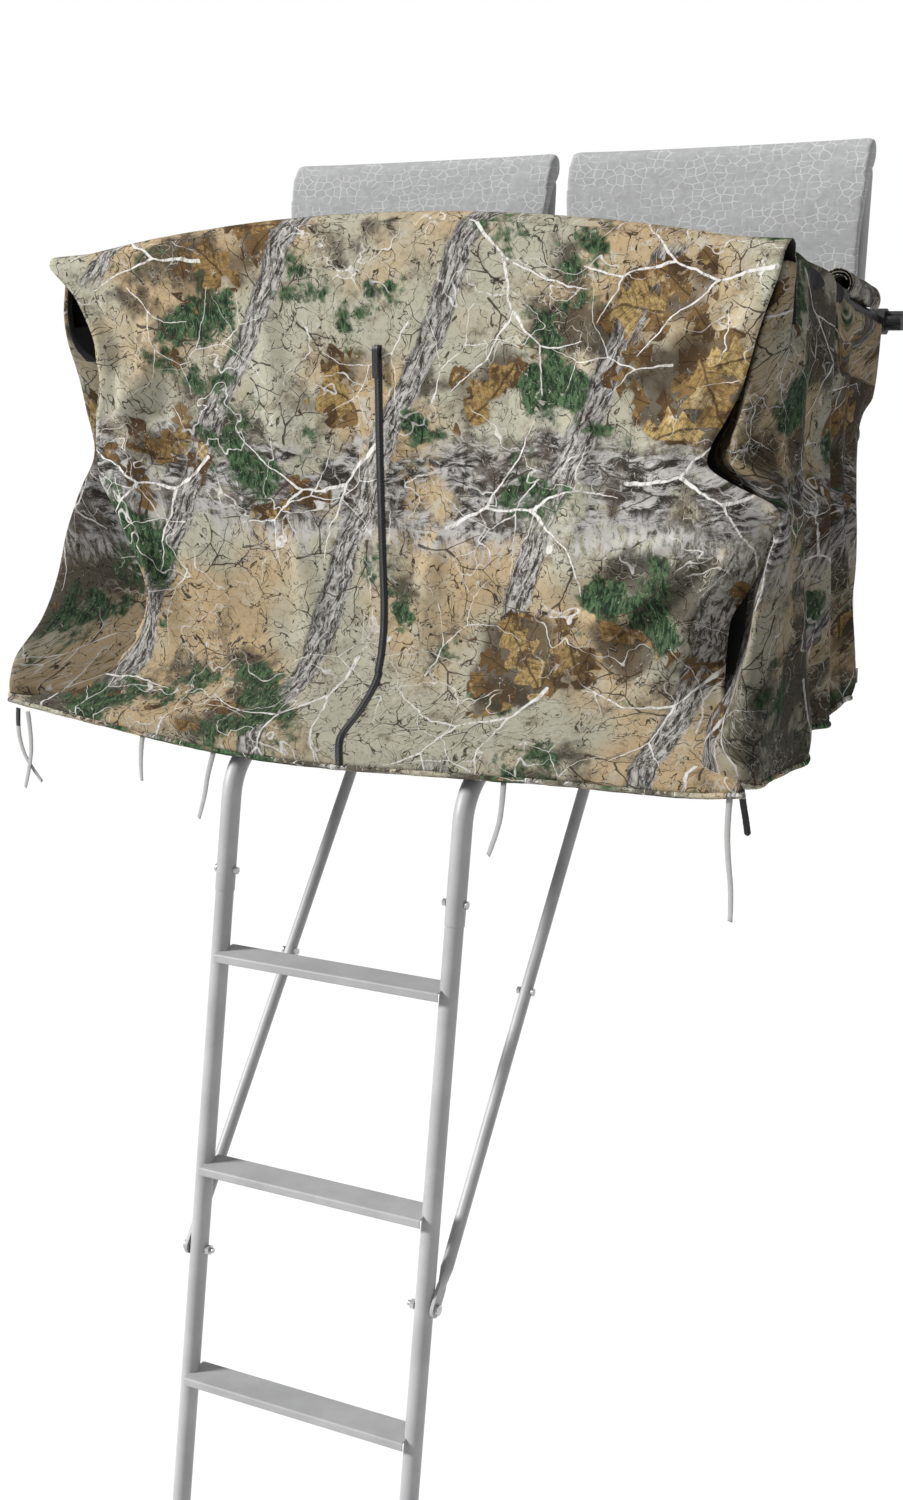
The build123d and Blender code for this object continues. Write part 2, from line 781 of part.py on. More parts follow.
def make_cradle():
    with BuildPart() as cradle:
        with BuildSketch(Plane.XY.offset(20)):
            Polygon(
                (-95, DECK_REAR_Y + GAP), (95, DECK_REAR_Y + GAP), *toothed_edge(105, -18, 33, 7), align=None
            )
        extrude(amount=6)
    return cradle.part


def make_tree_strap():
    """A band from the left ear round the back of the trunk to the ratchet's spool."""
    outer = STRAP_R + STRAP_THICK
    left_end = DECK_REAR_Y + GAP
    right_end = SPOOL[1] + SPOOL_R + 0.5
    with BuildPart() as strap:
        with BuildSketch(Plane.XY.offset(STRAP_Z[0])):
            with Locations((0, TRUNK_Y)):
                Circle(outer)
                Circle(STRAP_R, mode=Mode.SUBTRACT)
                Rectangle(4 * outer, 2 * outer, align=(Align.CENTER, Align.MAX), mode=Mode.SUBTRACT)
            for side, end in ((-1, left_end), (1, right_end)):
                with Locations((side * (STRAP_R + STRAP_THICK / 2), (TRUNK_Y + end) / 2)):
                    Rectangle(STRAP_THICK, TRUNK_Y - end)
        extrude(amount=STRAP_Z[1] - STRAP_Z[0])
    return strap.part


def make_ratchet_body():
    """Two cheek plates joined by a base, with a boss outside each cheek for the handle to turn on."""
    rear = DECK_REAR_Y + GAP
    low, high = STRAP_Z
    cheeks = ((low - 4, low - 9), (high + 1, high + 4))
    with BuildPart() as body:
        for z, boss_z in cheeks:
            with BuildSketch(Plane.XY.offset(z)):
                with Locations((SPOOL[0], (rear + 12) / 2)):
                    RectangleRounded(26, 12 - rear, 5)
                with Locations(SPOOL):
                    Circle(AXLE_R + PIN_CLEARANCE, mode=Mode.SUBTRACT)
            extrude(amount=3)
            with BuildSketch(Plane.XY.offset(boss_z)):
                with Locations(SPOOL):
                    Circle(SPOOL_R)
            extrude(amount=5)
        with BuildSketch(Plane.XY.offset(low - 2)):
            with Locations((SPOOL[0] - 11, (rear - 25) / 2)):
                Rectangle(4, -25 - rear)
        extrude(amount=high - low + 4)
    return body.part


def make_ratchet_spool():
    """A slotted barrel between the cheeks, with an axle end in each cheek."""
    low, high = STRAP_Z
    with BuildPart() as spool:
        for radius, bottom, top in ((AXLE_R, low - 3.8, high + 3.8), (SPOOL_R, low - 0.5, high + 0.5)):
            with BuildSketch(Plane.XY.offset(bottom)):
                with Locations(SPOOL):
                    Circle(radius)
            extrude(amount=top - bottom)
        with BuildSketch(Plane.XY.offset(low)):
            with Locations(SPOOL):
                Rectangle(2, 4 * SPOOL_R)
        extrude(amount=high - low, mode=Mode.SUBTRACT)
    return spool.part


def make_ratchet_handle():
    """Two arms on the body's bosses, joined by a round grip outside the body."""
    low, high = STRAP_Z
    grip = (SPOOL[0] + 24, SPOOL[1] - 62)
    with BuildPart() as handle:
        for z in (low - 8, high + 5):
            with BuildSketch(Plane.XY.offset(z)):
                with Locations(SPOOL):
                    Circle(12)
                with Locations(grip):
                    Circle(7)
                make_hull()
                with Locations(SPOOL):
                    Circle(SPOOL_R + PIN_CLEARANCE, mode=Mode.SUBTRACT)
            extrude(amount=3)
        with BuildSketch(Plane.XY.offset(low - 8)):
            with Locations(grip):
                Circle(6)
        extrude(amount=high - low + 16)
    return handle.part


save(make_cradle(), "tree_cradle")
save(make_tree_strap(), "tree_strap")
save(make_ratchet_body(), "ratchet_body")
save(make_ratchet_spool(), "ratchet_spool")
save(make_ratchet_handle(), "ratchet_handle")


# Stabiliser bar: it pivots behind the ladder and telescopes to the trunk


def make_stabiliser_bracket():
    """A cross tube between the rails, two ears and the pin across them."""
    ladder_y = on_ladder((STAB_Z - FIRST_RUNG.Z) / math.cos(LEAN)).Y
    low, high = section_ends(1)
    with BuildPart() as bracket:
        add(round_tube((-RAIL_X, ladder_y, STAB_Z), (RAIL_X, ladder_y, STAB_Z), FRAME_R))
        for x in (-RAIL_X, RAIL_X):
            with BuildSketch(across_ladder(low, x)):
                Circle(RAIL_R + GAP)
            extrude(amount=high - low, mode=Mode.SUBTRACT)
        for x in (-18, 14):
            with BuildSketch(Plane.YZ.offset(x)):
                with Locations(((ladder_y + STAB_PIVOT_Y) / 2, STAB_Z)):
                    SlotCenterToCenter(STAB_PIVOT_Y - ladder_y, 2 * FRAME_R)
            extrude(amount=4)
        with Locations((0, STAB_PIVOT_Y, STAB_Z)):
            Cylinder(PIVOT_R, 34, rotation=(0, 90, 0))
    return bracket.part


def make_stabiliser_outer():
    """The outer tube with its hub, and the thumb screw that clamps the inner tube."""
    along = Plane(origin=(0, STAB_PIVOT_Y, STAB_Z), x_dir=(1, 0, 0), z_dir=(0, 1, 0))
    screw_y = STAB_SPLIT_Y - 30
    with BuildPart() as outer:
        with BuildSketch(along):
            Circle(STAB_R)
        extrude(amount=STAB_SPLIT_Y - STAB_PIVOT_Y)
        with BuildSketch(Plane.XY.offset(STAB_Z)):
            with Locations((0, screw_y)):
                Circle(9)
        extrude(amount=STAB_R + 6)
        with Locations((0, STAB_PIVOT_Y, STAB_Z)):
            Cylinder(STAB_R, 26, rotation=(0, 90, 0))
            Cylinder(PIVOT_R + PIN_CLEARANCE, 40, rotation=(0, 90, 0), mode=Mode.SUBTRACT)
        with BuildSketch(along.offset(30)):
            Circle(STAB_BORE)
        extrude(amount=STAB_SPLIT_Y - STAB_PIVOT_Y, mode=Mode.SUBTRACT)
        with BuildSketch(Plane.XY.offset(STAB_Z)):
            with Locations((0, screw_y)):
                Circle(3 + GAP)
        extrude(amount=40, mode=Mode.SUBTRACT)
        for radius, low, high in ((3, STAB_BORE + 0.3, STAB_R + 14), (13, STAB_R + 12, STAB_R + 24)):
            with BuildSketch(Plane.XY.offset(STAB_Z + low)):
                with Locations((0, screw_y)):
                    Circle(radius)
            extrude(amount=high - low)
    return outer.part


def make_stabiliser_inner():
    """The inner tube, with the small toothed cradle that meets the trunk."""
    tail = STAB_SPLIT_Y - 200
    cradle_y = -45
    with BuildPart() as inner:
        with BuildSketch(Plane(origin=(0, tail, STAB_Z), x_dir=(1, 0, 0), z_dir=(0, 1, 0))):
            ring(STAB_BORE - PIN_CLEARANCE, STAB_BORE - 2)
        extrude(amount=cradle_y - tail + 10)
        with BuildSketch(Plane.XY.offset(STAB_Z - 3)):
            Polygon((-60, cradle_y), (60, cradle_y), *toothed_edge(75, -18, 18, 5), align=None)
        extrude(amount=6)
    return inner.part


save(make_stabiliser_bracket(), "stabiliser_bracket")
save(make_stabiliser_outer(), "stabiliser_outer")
save(make_stabiliser_inner(), "stabiliser_inner")
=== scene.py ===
import math
import random

import bmesh
import bpy
from mathutils import Matrix, Vector, noise


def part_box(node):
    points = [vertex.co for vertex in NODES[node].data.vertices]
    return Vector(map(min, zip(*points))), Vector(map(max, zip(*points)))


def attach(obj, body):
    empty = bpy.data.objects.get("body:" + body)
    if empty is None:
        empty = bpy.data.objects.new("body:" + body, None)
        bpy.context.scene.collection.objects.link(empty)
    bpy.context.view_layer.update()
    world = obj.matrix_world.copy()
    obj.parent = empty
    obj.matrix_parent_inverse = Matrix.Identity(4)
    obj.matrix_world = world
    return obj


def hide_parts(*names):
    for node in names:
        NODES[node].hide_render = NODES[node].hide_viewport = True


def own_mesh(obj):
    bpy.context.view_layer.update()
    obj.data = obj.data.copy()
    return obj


# Looks of a two-person ladder tree stand with a camouflage blind. Metres, in the frame of the CAD model:
# +Y towards the trunk, +Z up, the origin where the trunk meets the tree cradle.

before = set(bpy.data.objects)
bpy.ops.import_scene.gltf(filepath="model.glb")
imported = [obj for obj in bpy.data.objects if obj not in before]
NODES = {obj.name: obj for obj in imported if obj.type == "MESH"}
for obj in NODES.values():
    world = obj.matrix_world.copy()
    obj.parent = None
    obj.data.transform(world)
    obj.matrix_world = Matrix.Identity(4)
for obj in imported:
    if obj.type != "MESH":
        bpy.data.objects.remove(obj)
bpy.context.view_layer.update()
SIDES = (("left", -1), ("right", 1))
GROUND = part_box("ladder_feet")[0].z


# Camera, level with the blind's upper half, to the right of it and tilted down


def make_camera():
    turn, dip, roll = math.radians(27.2), math.radians(13.7), math.radians(-0.61)
    ahead = Vector((-math.sin(turn) * math.cos(dip), math.cos(turn) * math.cos(dip), -math.sin(dip)))
    level = Vector((math.cos(turn), math.sin(turn), 0))
    upright = level.cross(ahead)
    right = math.cos(roll) * level + math.sin(roll) * upright
    up = -math.sin(roll) * level + math.cos(roll) * upright
    camera = bpy.data.objects.new("camera", bpy.data.cameras.new("camera"))
    bpy.context.scene.collection.objects.link(camera)
    turned = Matrix((right, up, -ahead)).transposed().to_4x4()
    camera.matrix_world = Matrix.Translation((1.334, -3.138, 0.656)) @ turned
    camera.data.lens = 43.92
    camera.data.sensor_width = 36
    camera.data.clip_end = 100
    bpy.context.scene.camera = camera


make_camera()


# Shader nodes, written as formulas


class Field:
    """A shader value that takes part in sums and products like a number."""

    def __init__(self, paint, socket):
        self.paint = paint
        self.socket = socket

    def math(self, operation, *others, clamp=False):
        return self.paint.math(operation, self, *others, clamp=clamp)

    def __add__(self, other):
        return self.math("ADD", other)

    __radd__ = __add__

    def __sub__(self, other):
        return self.math("SUBTRACT", other)

    def __rsub__(self, other):
        return self.paint.math("SUBTRACT", other, self)

    def __mul__(self, other):
        return self.math("MULTIPLY", other)

    __rmul__ = __mul__

    def __truediv__(self, other):
        return self.math("DIVIDE", other)

    def abs(self):
        return self.math("ABSOLUTE")

    def step(self, low, high):
        """0 below low, 1 above high, and smooth between them; low may be the larger."""
        inputs = {"Value": self, "From Min": low, "From Max": high}
        return self.paint.node("ShaderNodeMapRange", inputs, interpolation_type="SMOOTHSTEP")


class Paint:
    """The nodes of one material."""

    def __init__(self, name, roughness=0.6, metallic=0.0, sheen=0.0, specular=0.5):
        self.material = bpy.data.materials.new(name)
        self.material.use_nodes = True
        self.tree = self.material.node_tree
        self.shader = self.tree.nodes["Principled BSDF"]
        self.shader.inputs["Roughness"].default_value = roughness
        self.shader.inputs["Metallic"].default_value = metallic
        self.shader.inputs["Sheen Weight"].default_value = sheen
        self.shader.inputs["Specular IOR Level"].default_value = specular

    def put(self, socket, value):
        if isinstance(value, Field):
            self.tree.links.new(value.socket, socket)
        elif hasattr(socket.default_value, "__len__") and len(socket.default_value) == 4:
            socket.default_value = (*value, 1)
        else:
            socket.default_value = value

    def node(self, kind, inputs, output=0, **settings):
        made = self.tree.nodes.new(kind)
        for name, value in settings.items():
            setattr(made, name, value)
        for name, value in inputs.items():
            self.put(made.inputs[name], value)
        return Field(self, made.outputs[output])

    def math(self, operation, *values, clamp=False):
        return self.node("ShaderNodeMath", dict(enumerate(values)), operation=operation, use_clamp=clamp)

    def vector(self, operation, *values, output=0):
        return self.node("ShaderNodeVectorMath", dict(enumerate(values)), output, operation=operation)

    def place(self):
        """Where the point is on the object, in metres."""
        return self.node("ShaderNodeTexCoord", {}, "Object")

    def cloth(self):
        """Where the point is on the flat cloth, in metres, as the mesh says."""
        return self.node("ShaderNodeAttribute", {}, "Vector", attribute_name="cloth")

    def split(self, vector):
        return [self.node("ShaderNodeSeparateXYZ", {0: vector}, axis) for axis in range(3)]

    def join(self, x=0.0, y=0.0, z=0.0):
        return self.node("ShaderNodeCombineXYZ", {0: x, 1: y, 2: z})

    def noise(self, vector, scale, detail=3.0, roughness=0.55, distortion=0.0, output=0):
        inputs = {
            "Vector": vector,
            "Scale": scale,
            "Detail": detail,
            "Roughness": roughness,
            "Distortion": distortion,
        }
        return self.node("ShaderNodeTexNoise", inputs, output)

    def voronoi(self, vector, scale, output="Distance", randomness=1.0, feature="F1", flat=False):
        inputs = {"Vector": vector, "Scale": scale, "Randomness": randomness}
        dimensions = "2D" if flat else "3D"
        return self.node(
            "ShaderNodeTexVoronoi", inputs, output, feature=feature, voronoi_dimensions=dimensions
        )

    def mix(self, share, first, second):
        """A colour between two others."""
        made = self.tree.nodes.new("ShaderNodeMix")
        made.data_type = "RGBA"
        self.put(made.inputs[0], share)
        self.put(made.inputs[6], first)
        self.put(made.inputs[7], second)
        return Field(self, made.outputs[2])

    def shift(self, vector, x, y):
        return self.vector("ADD", vector, (x, y, 0.0))

    def finish(self, colour, height=None, depth=0.001, roughness=None):
        self.put(self.shader.inputs["Base Color"], colour)
        if roughness is not None:
            self.put(self.shader.inputs["Roughness"], roughness)
        if height is not None:
            bump = {"Height": height, "Distance": depth, "Strength": 1.0}
            self.put(self.shader.inputs["Normal"], self.node("ShaderNodeBump", bump))
        return self.material


def painted_steel(name, colour):
    """Powder coat: orange peel, faint mottling and a few rubbed spots."""
    paint = Paint(name, roughness=0.42)
    place = paint.place()
    mottle = paint.noise(place, 9.0, 5.0, 0.6)
    fine = paint.noise(place, 160.0, 3.0)
    scratch = paint.noise(paint.vector("MULTIPLY", place, (60.0, 60.0, 9.0)), 4.0, 2.0).step(0.70, 0.78)
    worn = tuple(min(1.0, c * 1.45) for c in colour)
    dull = tuple(c * 0.82 for c in colour)
    base = paint.mix(mottle.step(0.35, 0.7), dull, colour)
    base = paint.mix(scratch * 0.25, base, worn)
    rough = 0.36 + mottle * 0.2
    return paint.finish(base, fine + scratch * -0.6, 0.00025, rough)


def plain_plastic(name, colour, roughness=0.5, grain=420.0):
    paint = Paint(name, roughness=roughness)
    place = paint.place()
    pebble = paint.noise(place, grain, 2.0)
    tone = paint.noise(place, 30.0, 3.0)
    base = paint.mix(tone.step(0.3, 0.75), colour, tuple(min(1, c * 1.5 + 0.01) for c in colour))
    return paint.finish(base, pebble, 0.0002, roughness - 0.08 + pebble * 0.16)


def closed_foam(name, colour):
    """Closed-cell foam: small open pores under a dull skin."""
    paint = Paint(name, roughness=0.9, specular=0.25)
    place = paint.place()
    pores = paint.voronoi(place, 700.0).step(0.1, 0.45)
    tone = paint.noise(place, 24.0, 4.0)
    base = paint.mix(tone.step(0.3, 0.8), colour, tuple(c * 2.2 + 0.01 for c in colour))
    return paint.finish(base, pores + tone * 0.6, 0.0006)


def zinc(name):
    """Zinc-plated steel with a faint spangle."""
    paint = Paint(name, roughness=0.3, metallic=0.85)
    place = paint.place()
    spangle = paint.voronoi(place, 260.0, "Color")
    tone = paint.noise(place, 50.0, 4.0)
    grey = paint.split(spangle)[0]
    base = paint.mix(grey * 0.5 + tone * 0.4, (0.42, 0.42, 0.43), (0.66, 0.66, 0.66))
    return paint.finish(base, tone, 0.0002, 0.26 + tone * 0.25)


def weave(across, along, pitch):
    """Height of a plain weave, from 0 to 1."""
    turns = math.tau / pitch
    warp = (across * turns).math("SINE")
    weft = (along * turns).math("SINE")
    return (warp * weft) * 0.5 + 0.5


def webbing(name, colour, pitch=0.0022):
    """Woven strap: ribs across, small chevrons and a little fuzz."""
    paint = Paint(name, roughness=0.8, sheen=0.25, specular=0.2)
    across, along, _ = paint.split(paint.cloth())
    cross = weave(across, along, pitch)
    fuzz = paint.noise(paint.cloth(), 900.0, 2.0)
    tone = paint.noise(paint.cloth(), 45.0, 4.0)
    dark = tuple(c * 0.55 for c in colour)
    # Painted shade: the weave's dips are darker and its ribs lighter; the rest of the change is random tone
    # in the strap.
    base = paint.mix(cross * 0.5 + tone * 0.6, dark, colour)
    return paint.finish(base, cross + fuzz * 0.5, 0.0005)


def reptile_fabric(name, colour, line):
    """Pad fabric: a woven ground with a printed network of thin, lighter lines round uneven cells."""
    paint = Paint(name, roughness=0.78, sheen=0.15, specular=0.25)
    cloth = paint.cloth()
    bend = paint.noise(cloth, 14.0, 3.0, output="Color")
    bent = paint.vector("ADD", cloth, paint.vector("MULTIPLY", bend, (0.02, 0.02, 0.02)))
    stretched = paint.vector("MULTIPLY", bent, (1.0, 1.45, 1.0))
    cells = paint.voronoi(stretched, 56.0, feature="DISTANCE_TO_EDGE", randomness=0.7, flat=True)
    broken = paint.noise(cloth, 26.0, 2.0).step(0.38, 0.55)
    network = cells.step(0.085, 0.03) * broken
    shade = paint.noise(cloth, 60.0, 5.0, 0.7)
    across, along, _ = paint.split(cloth)
    threads = weave(across, along, 0.0016)
    ground = paint.mix(shade.step(0.25, 0.8), tuple(c * 0.86 for c in colour), tuple(c * 1.1 for c in colour))
    base = paint.mix(network * 0.75, ground, line)
    return paint.finish(base, threads * 0.6 + network * -0.4 + shade * 0.4, 0.0005)


# Camouflage print


def stamps(paint, cloth, size, spread, offset):
    """Cuts the cloth into uneven cells. Gives the place in the point's cell, turned at random and measured
    in cell sizes, and three random numbers of the cell."""
    moved = paint.shift(cloth, *offset)
    settings = {"randomness": spread, "flat": True}
    centre = paint.voronoi(moved, 1 / size, "Position", **settings)
    chance = paint.split(paint.voronoi(moved, 1 / size, "Color", **settings))
    local = paint.vector("SUBTRACT", moved, centre)
    x, y, _ = paint.split(local)
    angle = chance[0] * math.tau
    sine, cosine = angle.math("SINE"), angle.math("COSINE")
    along = (x * cosine + y * sine) / size
    across = (y * cosine - x * sine) / size
    return along, across, chance


def stroke(paint, point, start, end, width):
    """1 on a tapered line between two places, 0 off it."""
    reach = (end[0] - start[0], end[1] - start[1], 0.0)
    squared = reach[0] ** 2 + reach[1] ** 2
    from_start = paint.vector("SUBTRACT", point, (*start, 0.0))
    share = paint.vector("DOT_PRODUCT", from_start, reach, output="Value").math("DIVIDE", squared, clamp=True)
    nearest = paint.vector("MULTIPLY", paint.join(share, share, share), reach)
    off = paint.vector("LENGTH", paint.vector("SUBTRACT", from_start, nearest), output="Value")
    half = width * (1.0 - share * 0.6)
    return (off / half).step(1.25, 0.75)


TWIG = (
    ((-0.46, -0.10), (-0.22, 0.02), 0.020),
    ((-0.22, 0.02), (0.02, 0.00), 0.016),
    ((0.02, 0.00), (0.22, 0.12), 0.013),
    ((0.22, 0.12), (0.44, 0.10), 0.009),
    ((-0.22, 0.02), (-0.08, 0.22), 0.012),
    ((-0.08, 0.22), (0.02, 0.42), 0.008),
    ((0.02, 0.00), (0.20, -0.16), 0.012),
    ((0.20, -0.16), (0.30, -0.38), 0.008),
    ((0.22, 0.12), (0.26, 0.34), 0.008),
)


def twigs(paint, cloth, size, offset, thick=1.0, strokes=TWIG):
    along, across, chance = stamps(paint, cloth, size, 0.55, offset)
    point = paint.join(along, across)
    total = None
    for start, end, width in strokes:
        one = stroke(paint, point, start, end, width * thick)
        total = one if total is None else total.math("MAXIMUM", one)
    return total, chance


def leaves(paint, cloth, size, offset, length=0.62, width=0.30):
    """Lobed leaves. Gives where they are, the rib and veins on them, and the cell's random numbers."""
    along, across, chance = stamps(paint, cloth, size, 0.8, offset)
    share = along / length
    taper = (1.0 - share * share).math("MAXIMUM", 0.0).math("POWER", 0.6)
    lobes = 1.0 + (share * 11.0).math("COSINE") * 0.38
    side = across.abs()
    inside = (side - taper * lobes * width).step(0.015, -0.015)
    rib = side.step(0.03, 0.008)
    slanted = ((along - side * 0.8) * 62.0).math("SINE")
    veins = slanted.step(0.80, 0.98)
    return inside, rib.math("MAXIMUM", veins * 0.6), chance


def contour(paint, vector, scale, level, width, detail=2.0, distortion=0.0):
    """Thin wandering lines where a noise passes a level."""
    field = paint.noise(vector, scale, detail, 0.5, distortion)
    return (field - level).abs().step(width, width * 0.3)


def camouflage(name, painted_shade_factor=1.0):
    """A leaf and branch print: pale ground, shadows, bark, foliage, leaves and bare twigs."""
    paint = Paint(name, roughness=0.9, specular=0.12)
    flat = paint.cloth()
    wander = paint.noise(flat, 7.0, 4.0, 0.6, output="Color")
    centred = paint.vector("SUBTRACT", wander, (0.5, 0.5, 0.5))
    cloth = paint.vector("ADD", flat, paint.vector("MULTIPLY", centred, (0.045, 0.045, 0.0)))
    s, t, _ = paint.split(cloth)

    # Ground: greenish beige, tan and pale grey patches, smudged
    patch = paint.noise(flat, 3.1, 3.0, 0.5)
    smudge = paint.noise(flat, 15.0, 6.0, 0.68)
    grain = paint.noise(flat, 120.0, 5.0, 0.75)
    ground = paint.mix(patch.step(0.44, 0.57), (0.41, 0.395, 0.305), (0.46, 0.345, 0.200))
    ground = paint.mix(smudge.step(0.50, 0.68) * 0.80, ground, (0.13, 0.095, 0.060))
    ground = paint.mix(smudge.step(0.46, 0.30) * 0.7, ground, (0.50, 0.485, 0.41))
    ground = paint.mix(grain.step(0.50, 0.68) * 0.35, ground, (0.09, 0.07, 0.05))
    low = t.step(0.42, 0.10)
    # Painted shade: the shadow patches grow towards both ends of the cloth, where the blind turns away from
    # the light; elsewhere they are print.
    painted_end_shade = s.abs().step(0.36, 0.60)
    shadow = (paint.noise(flat, 4.6, 5.0, 0.6) + painted_end_shade * 0.07).step(0.54, 0.61)
    ground = paint.mix(shadow * 0.85, ground, (0.042, 0.034, 0.025))

    # Brush: fine dark and pale stems in every direction
    brush = paint.noise(flat, 6.0, 3.0).step(0.42, 0.56)
    stems = contour(paint, cloth, 21.0, 0.50, 0.010, 2.5, 0.7)
    stems = stems.math("MAXIMUM", contour(paint, paint.shift(cloth, 3.1, 5.2), 33.0, 0.47, 0.012, 2.0, 0.9))
    straws = contour(paint, paint.shift(cloth, 8.7, 2.4), 17.0, 0.53, 0.007, 3.0, 0.9)
    straws = straws.math("MAXIMUM", contour(paint, paint.shift(cloth, 1.9, 7.7), 41.0, 0.50, 0.012, 1.5, 0.6))
    vines = contour(paint, paint.shift(cloth, 5.5, 9.1), 7.5, 0.50, 0.0055, 3.0, 0.4)

    # A fallen log across the middle, with bark along it and a ragged pale edge under it
    ragged = paint.noise(flat, 11.0, 5.0, 0.6)
    height = t + ragged * 0.12 + patch * 0.07
    log = height.step(0.475, 0.500) * height.step(0.640, 0.600)
    along_log = paint.noise(paint.join(s * 24.0, t * 66.0), 1.0, 8.0, 0.78, 0.8)
    log_colour = paint.mix(along_log.step(0.44, 0.58), (0.030, 0.025, 0.021), (0.44, 0.425, 0.405))
    log_colour = paint.mix(smudge.step(0.50, 0.60) * 0.8, log_colour, (0.075, 0.058, 0.045))
    log = log * paint.noise(flat, 8.5, 5.0, 0.65).step(0.40, 0.50)
    tuft = paint.noise(paint.join(s * 90.0, t * 22.0), 1.0, 4.0, 0.7)
    edge = height.step(0.445, 0.480) * height.step(0.520, 0.490) * tuft.step(0.42, 0.6)

    # Trunks: pale furrowed bark in leaning bands that stop and start
    lean = s - t * 0.34 + (t * 5.0).math("SINE") * 0.035
    band = (lean / 0.31).math("FRACT") - 0.5
    gone = paint.noise(paint.join((lean / 0.31).math("FLOOR") * 7.3, t * 2.6), 1.0, 2.0).step(0.43, 0.50)
    rough_edge = band.abs() + (tuft - 0.5) * 0.03
    trunk = rough_edge.step(0.080, 0.062) * gone
    furrow = paint.noise(paint.join(band * 48.0, t * 42.0), 1.0, 8.0, 0.78, 0.7)
    round_shade = (band + 0.03).step(0.00, -0.05)
    bark = paint.mix(furrow.step(0.43, 0.57), (0.034, 0.029, 0.025), (0.50, 0.48, 0.45))
    bark = paint.mix(grain.step(0.46, 0.60) * 0.5, bark, (0.07, 0.055, 0.045))
    bark = paint.mix(round_shade * 0.6, bark, (0.035, 0.030, 0.027))

    # Foliage: dark green sprays of needles
    spray = paint.noise(flat, 5.2, 5.0, 0.62)
    needle = paint.noise(paint.vector("MULTIPLY", cloth, (1.0, 0.4, 1.0)), 150.0, 4.0, 0.8, 0.8)
    green = (spray + (needle - 0.5) * 0.10).step(0.545, 0.590)
    green_colour = paint.mix(needle.step(0.42, 0.62), (0.012, 0.024, 0.013), (0.085, 0.145, 0.070))

    # Leaves: two sizes, in clusters
    above_log = t.step(0.50, 0.60) * t.step(0.82, 0.70)
    cluster = paint.noise(paint.shift(flat, 3.7, 1.3), 4.2, 3.0, 0.5) + above_log * 0.085 - 0.035
    big, big_lines, big_chance = leaves(paint, cloth, 0.096, (0.31, 0.12))
    small, small_lines, small_chance = leaves(paint, cloth, 0.046, (0.77, 0.45), 0.66, 0.34)
    big = big * cluster.step(0.590, 0.600) * big_chance[2].step(0.12, 0.16)
    small = small * cluster.step(0.565, 0.575) * small_chance[2].step(0.35, 0.4)
    under = cluster.step(0.565, 0.63)

    # Bare twigs: dark thin ones behind, pale ones in front
    dark_twig, dark_chance = twigs(paint, cloth, 0.10, (0.15, 0.65), 1.0)
    pale_twig, pale_chance = twigs(paint, cloth, 0.30, (0.52, 0.23), 0.55)
    spare_twig, spare_chance = twigs(paint, cloth, 0.16, (0.91, 0.37), 0.65)
    thin_twig, thin_chance = twigs(paint, cloth, 0.20, (0.08, 0.83), 0.36)

    small_colour = paint.mix(small_chance[1], (0.085, 0.048, 0.022), (0.215, 0.135, 0.055))
    small_colour = paint.mix(smudge.step(0.44, 0.56) * 0.8, small_colour, (0.050, 0.030, 0.016))
    small_colour = paint.mix(small_lines * 0.7, small_colour, (0.030, 0.018, 0.010))
    big_colour = paint.mix(big_chance[1], (0.20, 0.115, 0.040), (0.43, 0.31, 0.125))
    big_colour = paint.mix(grain.step(0.42, 0.62) * 0.7, big_colour, (0.085, 0.050, 0.022))
    big_colour = paint.mix(smudge.step(0.52, 0.62) * 0.85, big_colour, (0.060, 0.034, 0.016))
    big_colour = paint.mix(smudge.step(0.44, 0.34) * 0.7, big_colour, (0.58, 0.46, 0.27))
    big_colour = paint.mix(big_lines * 0.8, big_colour, (0.050, 0.028, 0.014))
    pale = paint.mix(furrow.step(0.38, 0.52), (0.30, 0.27, 0.23), (0.76, 0.74, 0.71))

    # Each layer's share and colour, from the ground up
    colour = ground
    for share, tint in (
        (straws * brush * 0.8, (0.50, 0.48, 0.42)),
        (stems * 0.9, (0.022, 0.016, 0.012)),
        (dark_twig * dark_chance[2].step(0.3, 0.35) * 0.9, (0.035, 0.027, 0.022)),
        (log, log_colour),
        (edge * 0.8, (0.50, 0.485, 0.47)),
        (trunk, bark),
        (green, green_colour),
        (under * 0.8, (0.050, 0.032, 0.018)),
        (small, small_colour),
        (big, big_colour),
        (stems * straws * 0.9, (0.45, 0.42, 0.36)),
        (spare_twig * spare_chance[2].step(0.50, 0.55) * 0.9, (0.05, 0.038, 0.03)),
        (vines * brush * 0.8, pale),
        (thin_twig * thin_chance[1].step(0.25, 0.3) * 0.9, pale),
        (pale_twig * pale_chance[2].step(0.10, 0.14), pale),
        (low * 0.22, (0.03, 0.028, 0.022)),
    ):
        colour = paint.mix(share, colour, tint)
    # Painted shade: a last argument below 1 darkens the whole print towards black, for a copy of the fabric
    # that stands in shade.
    if painted_shade_factor != 1.0:
        colour = paint.mix(1 - painted_shade_factor, colour, (0.0, 0.0, 0.0))

    brushed = paint.noise(paint.vector("MULTIPLY", flat, (1.0, 2.2, 1.0)), 1100.0, 2.0, 0.7)
    pucker = paint.noise(flat, 34.0, 4.0, 0.6)
    return paint.finish(colour, brushed * 0.25 + pucker, 0.0022)


def coated_cloth(name, colour):
    """The blind's inside: a dull dark coating over a fine weave."""
    paint = Paint(name, roughness=0.75, specular=0.25)
    cloth = paint.cloth()
    across, along, _ = paint.split(cloth)
    threads = weave(across, along, 0.0014)
    tone = paint.noise(cloth, 12.0, 5.0, 0.6)
    base = paint.mix(tone.step(0.3, 0.75), colour, tuple(c * 1.8 for c in colour))
    return paint.finish(base, threads * 0.3 + tone, 0.0012)


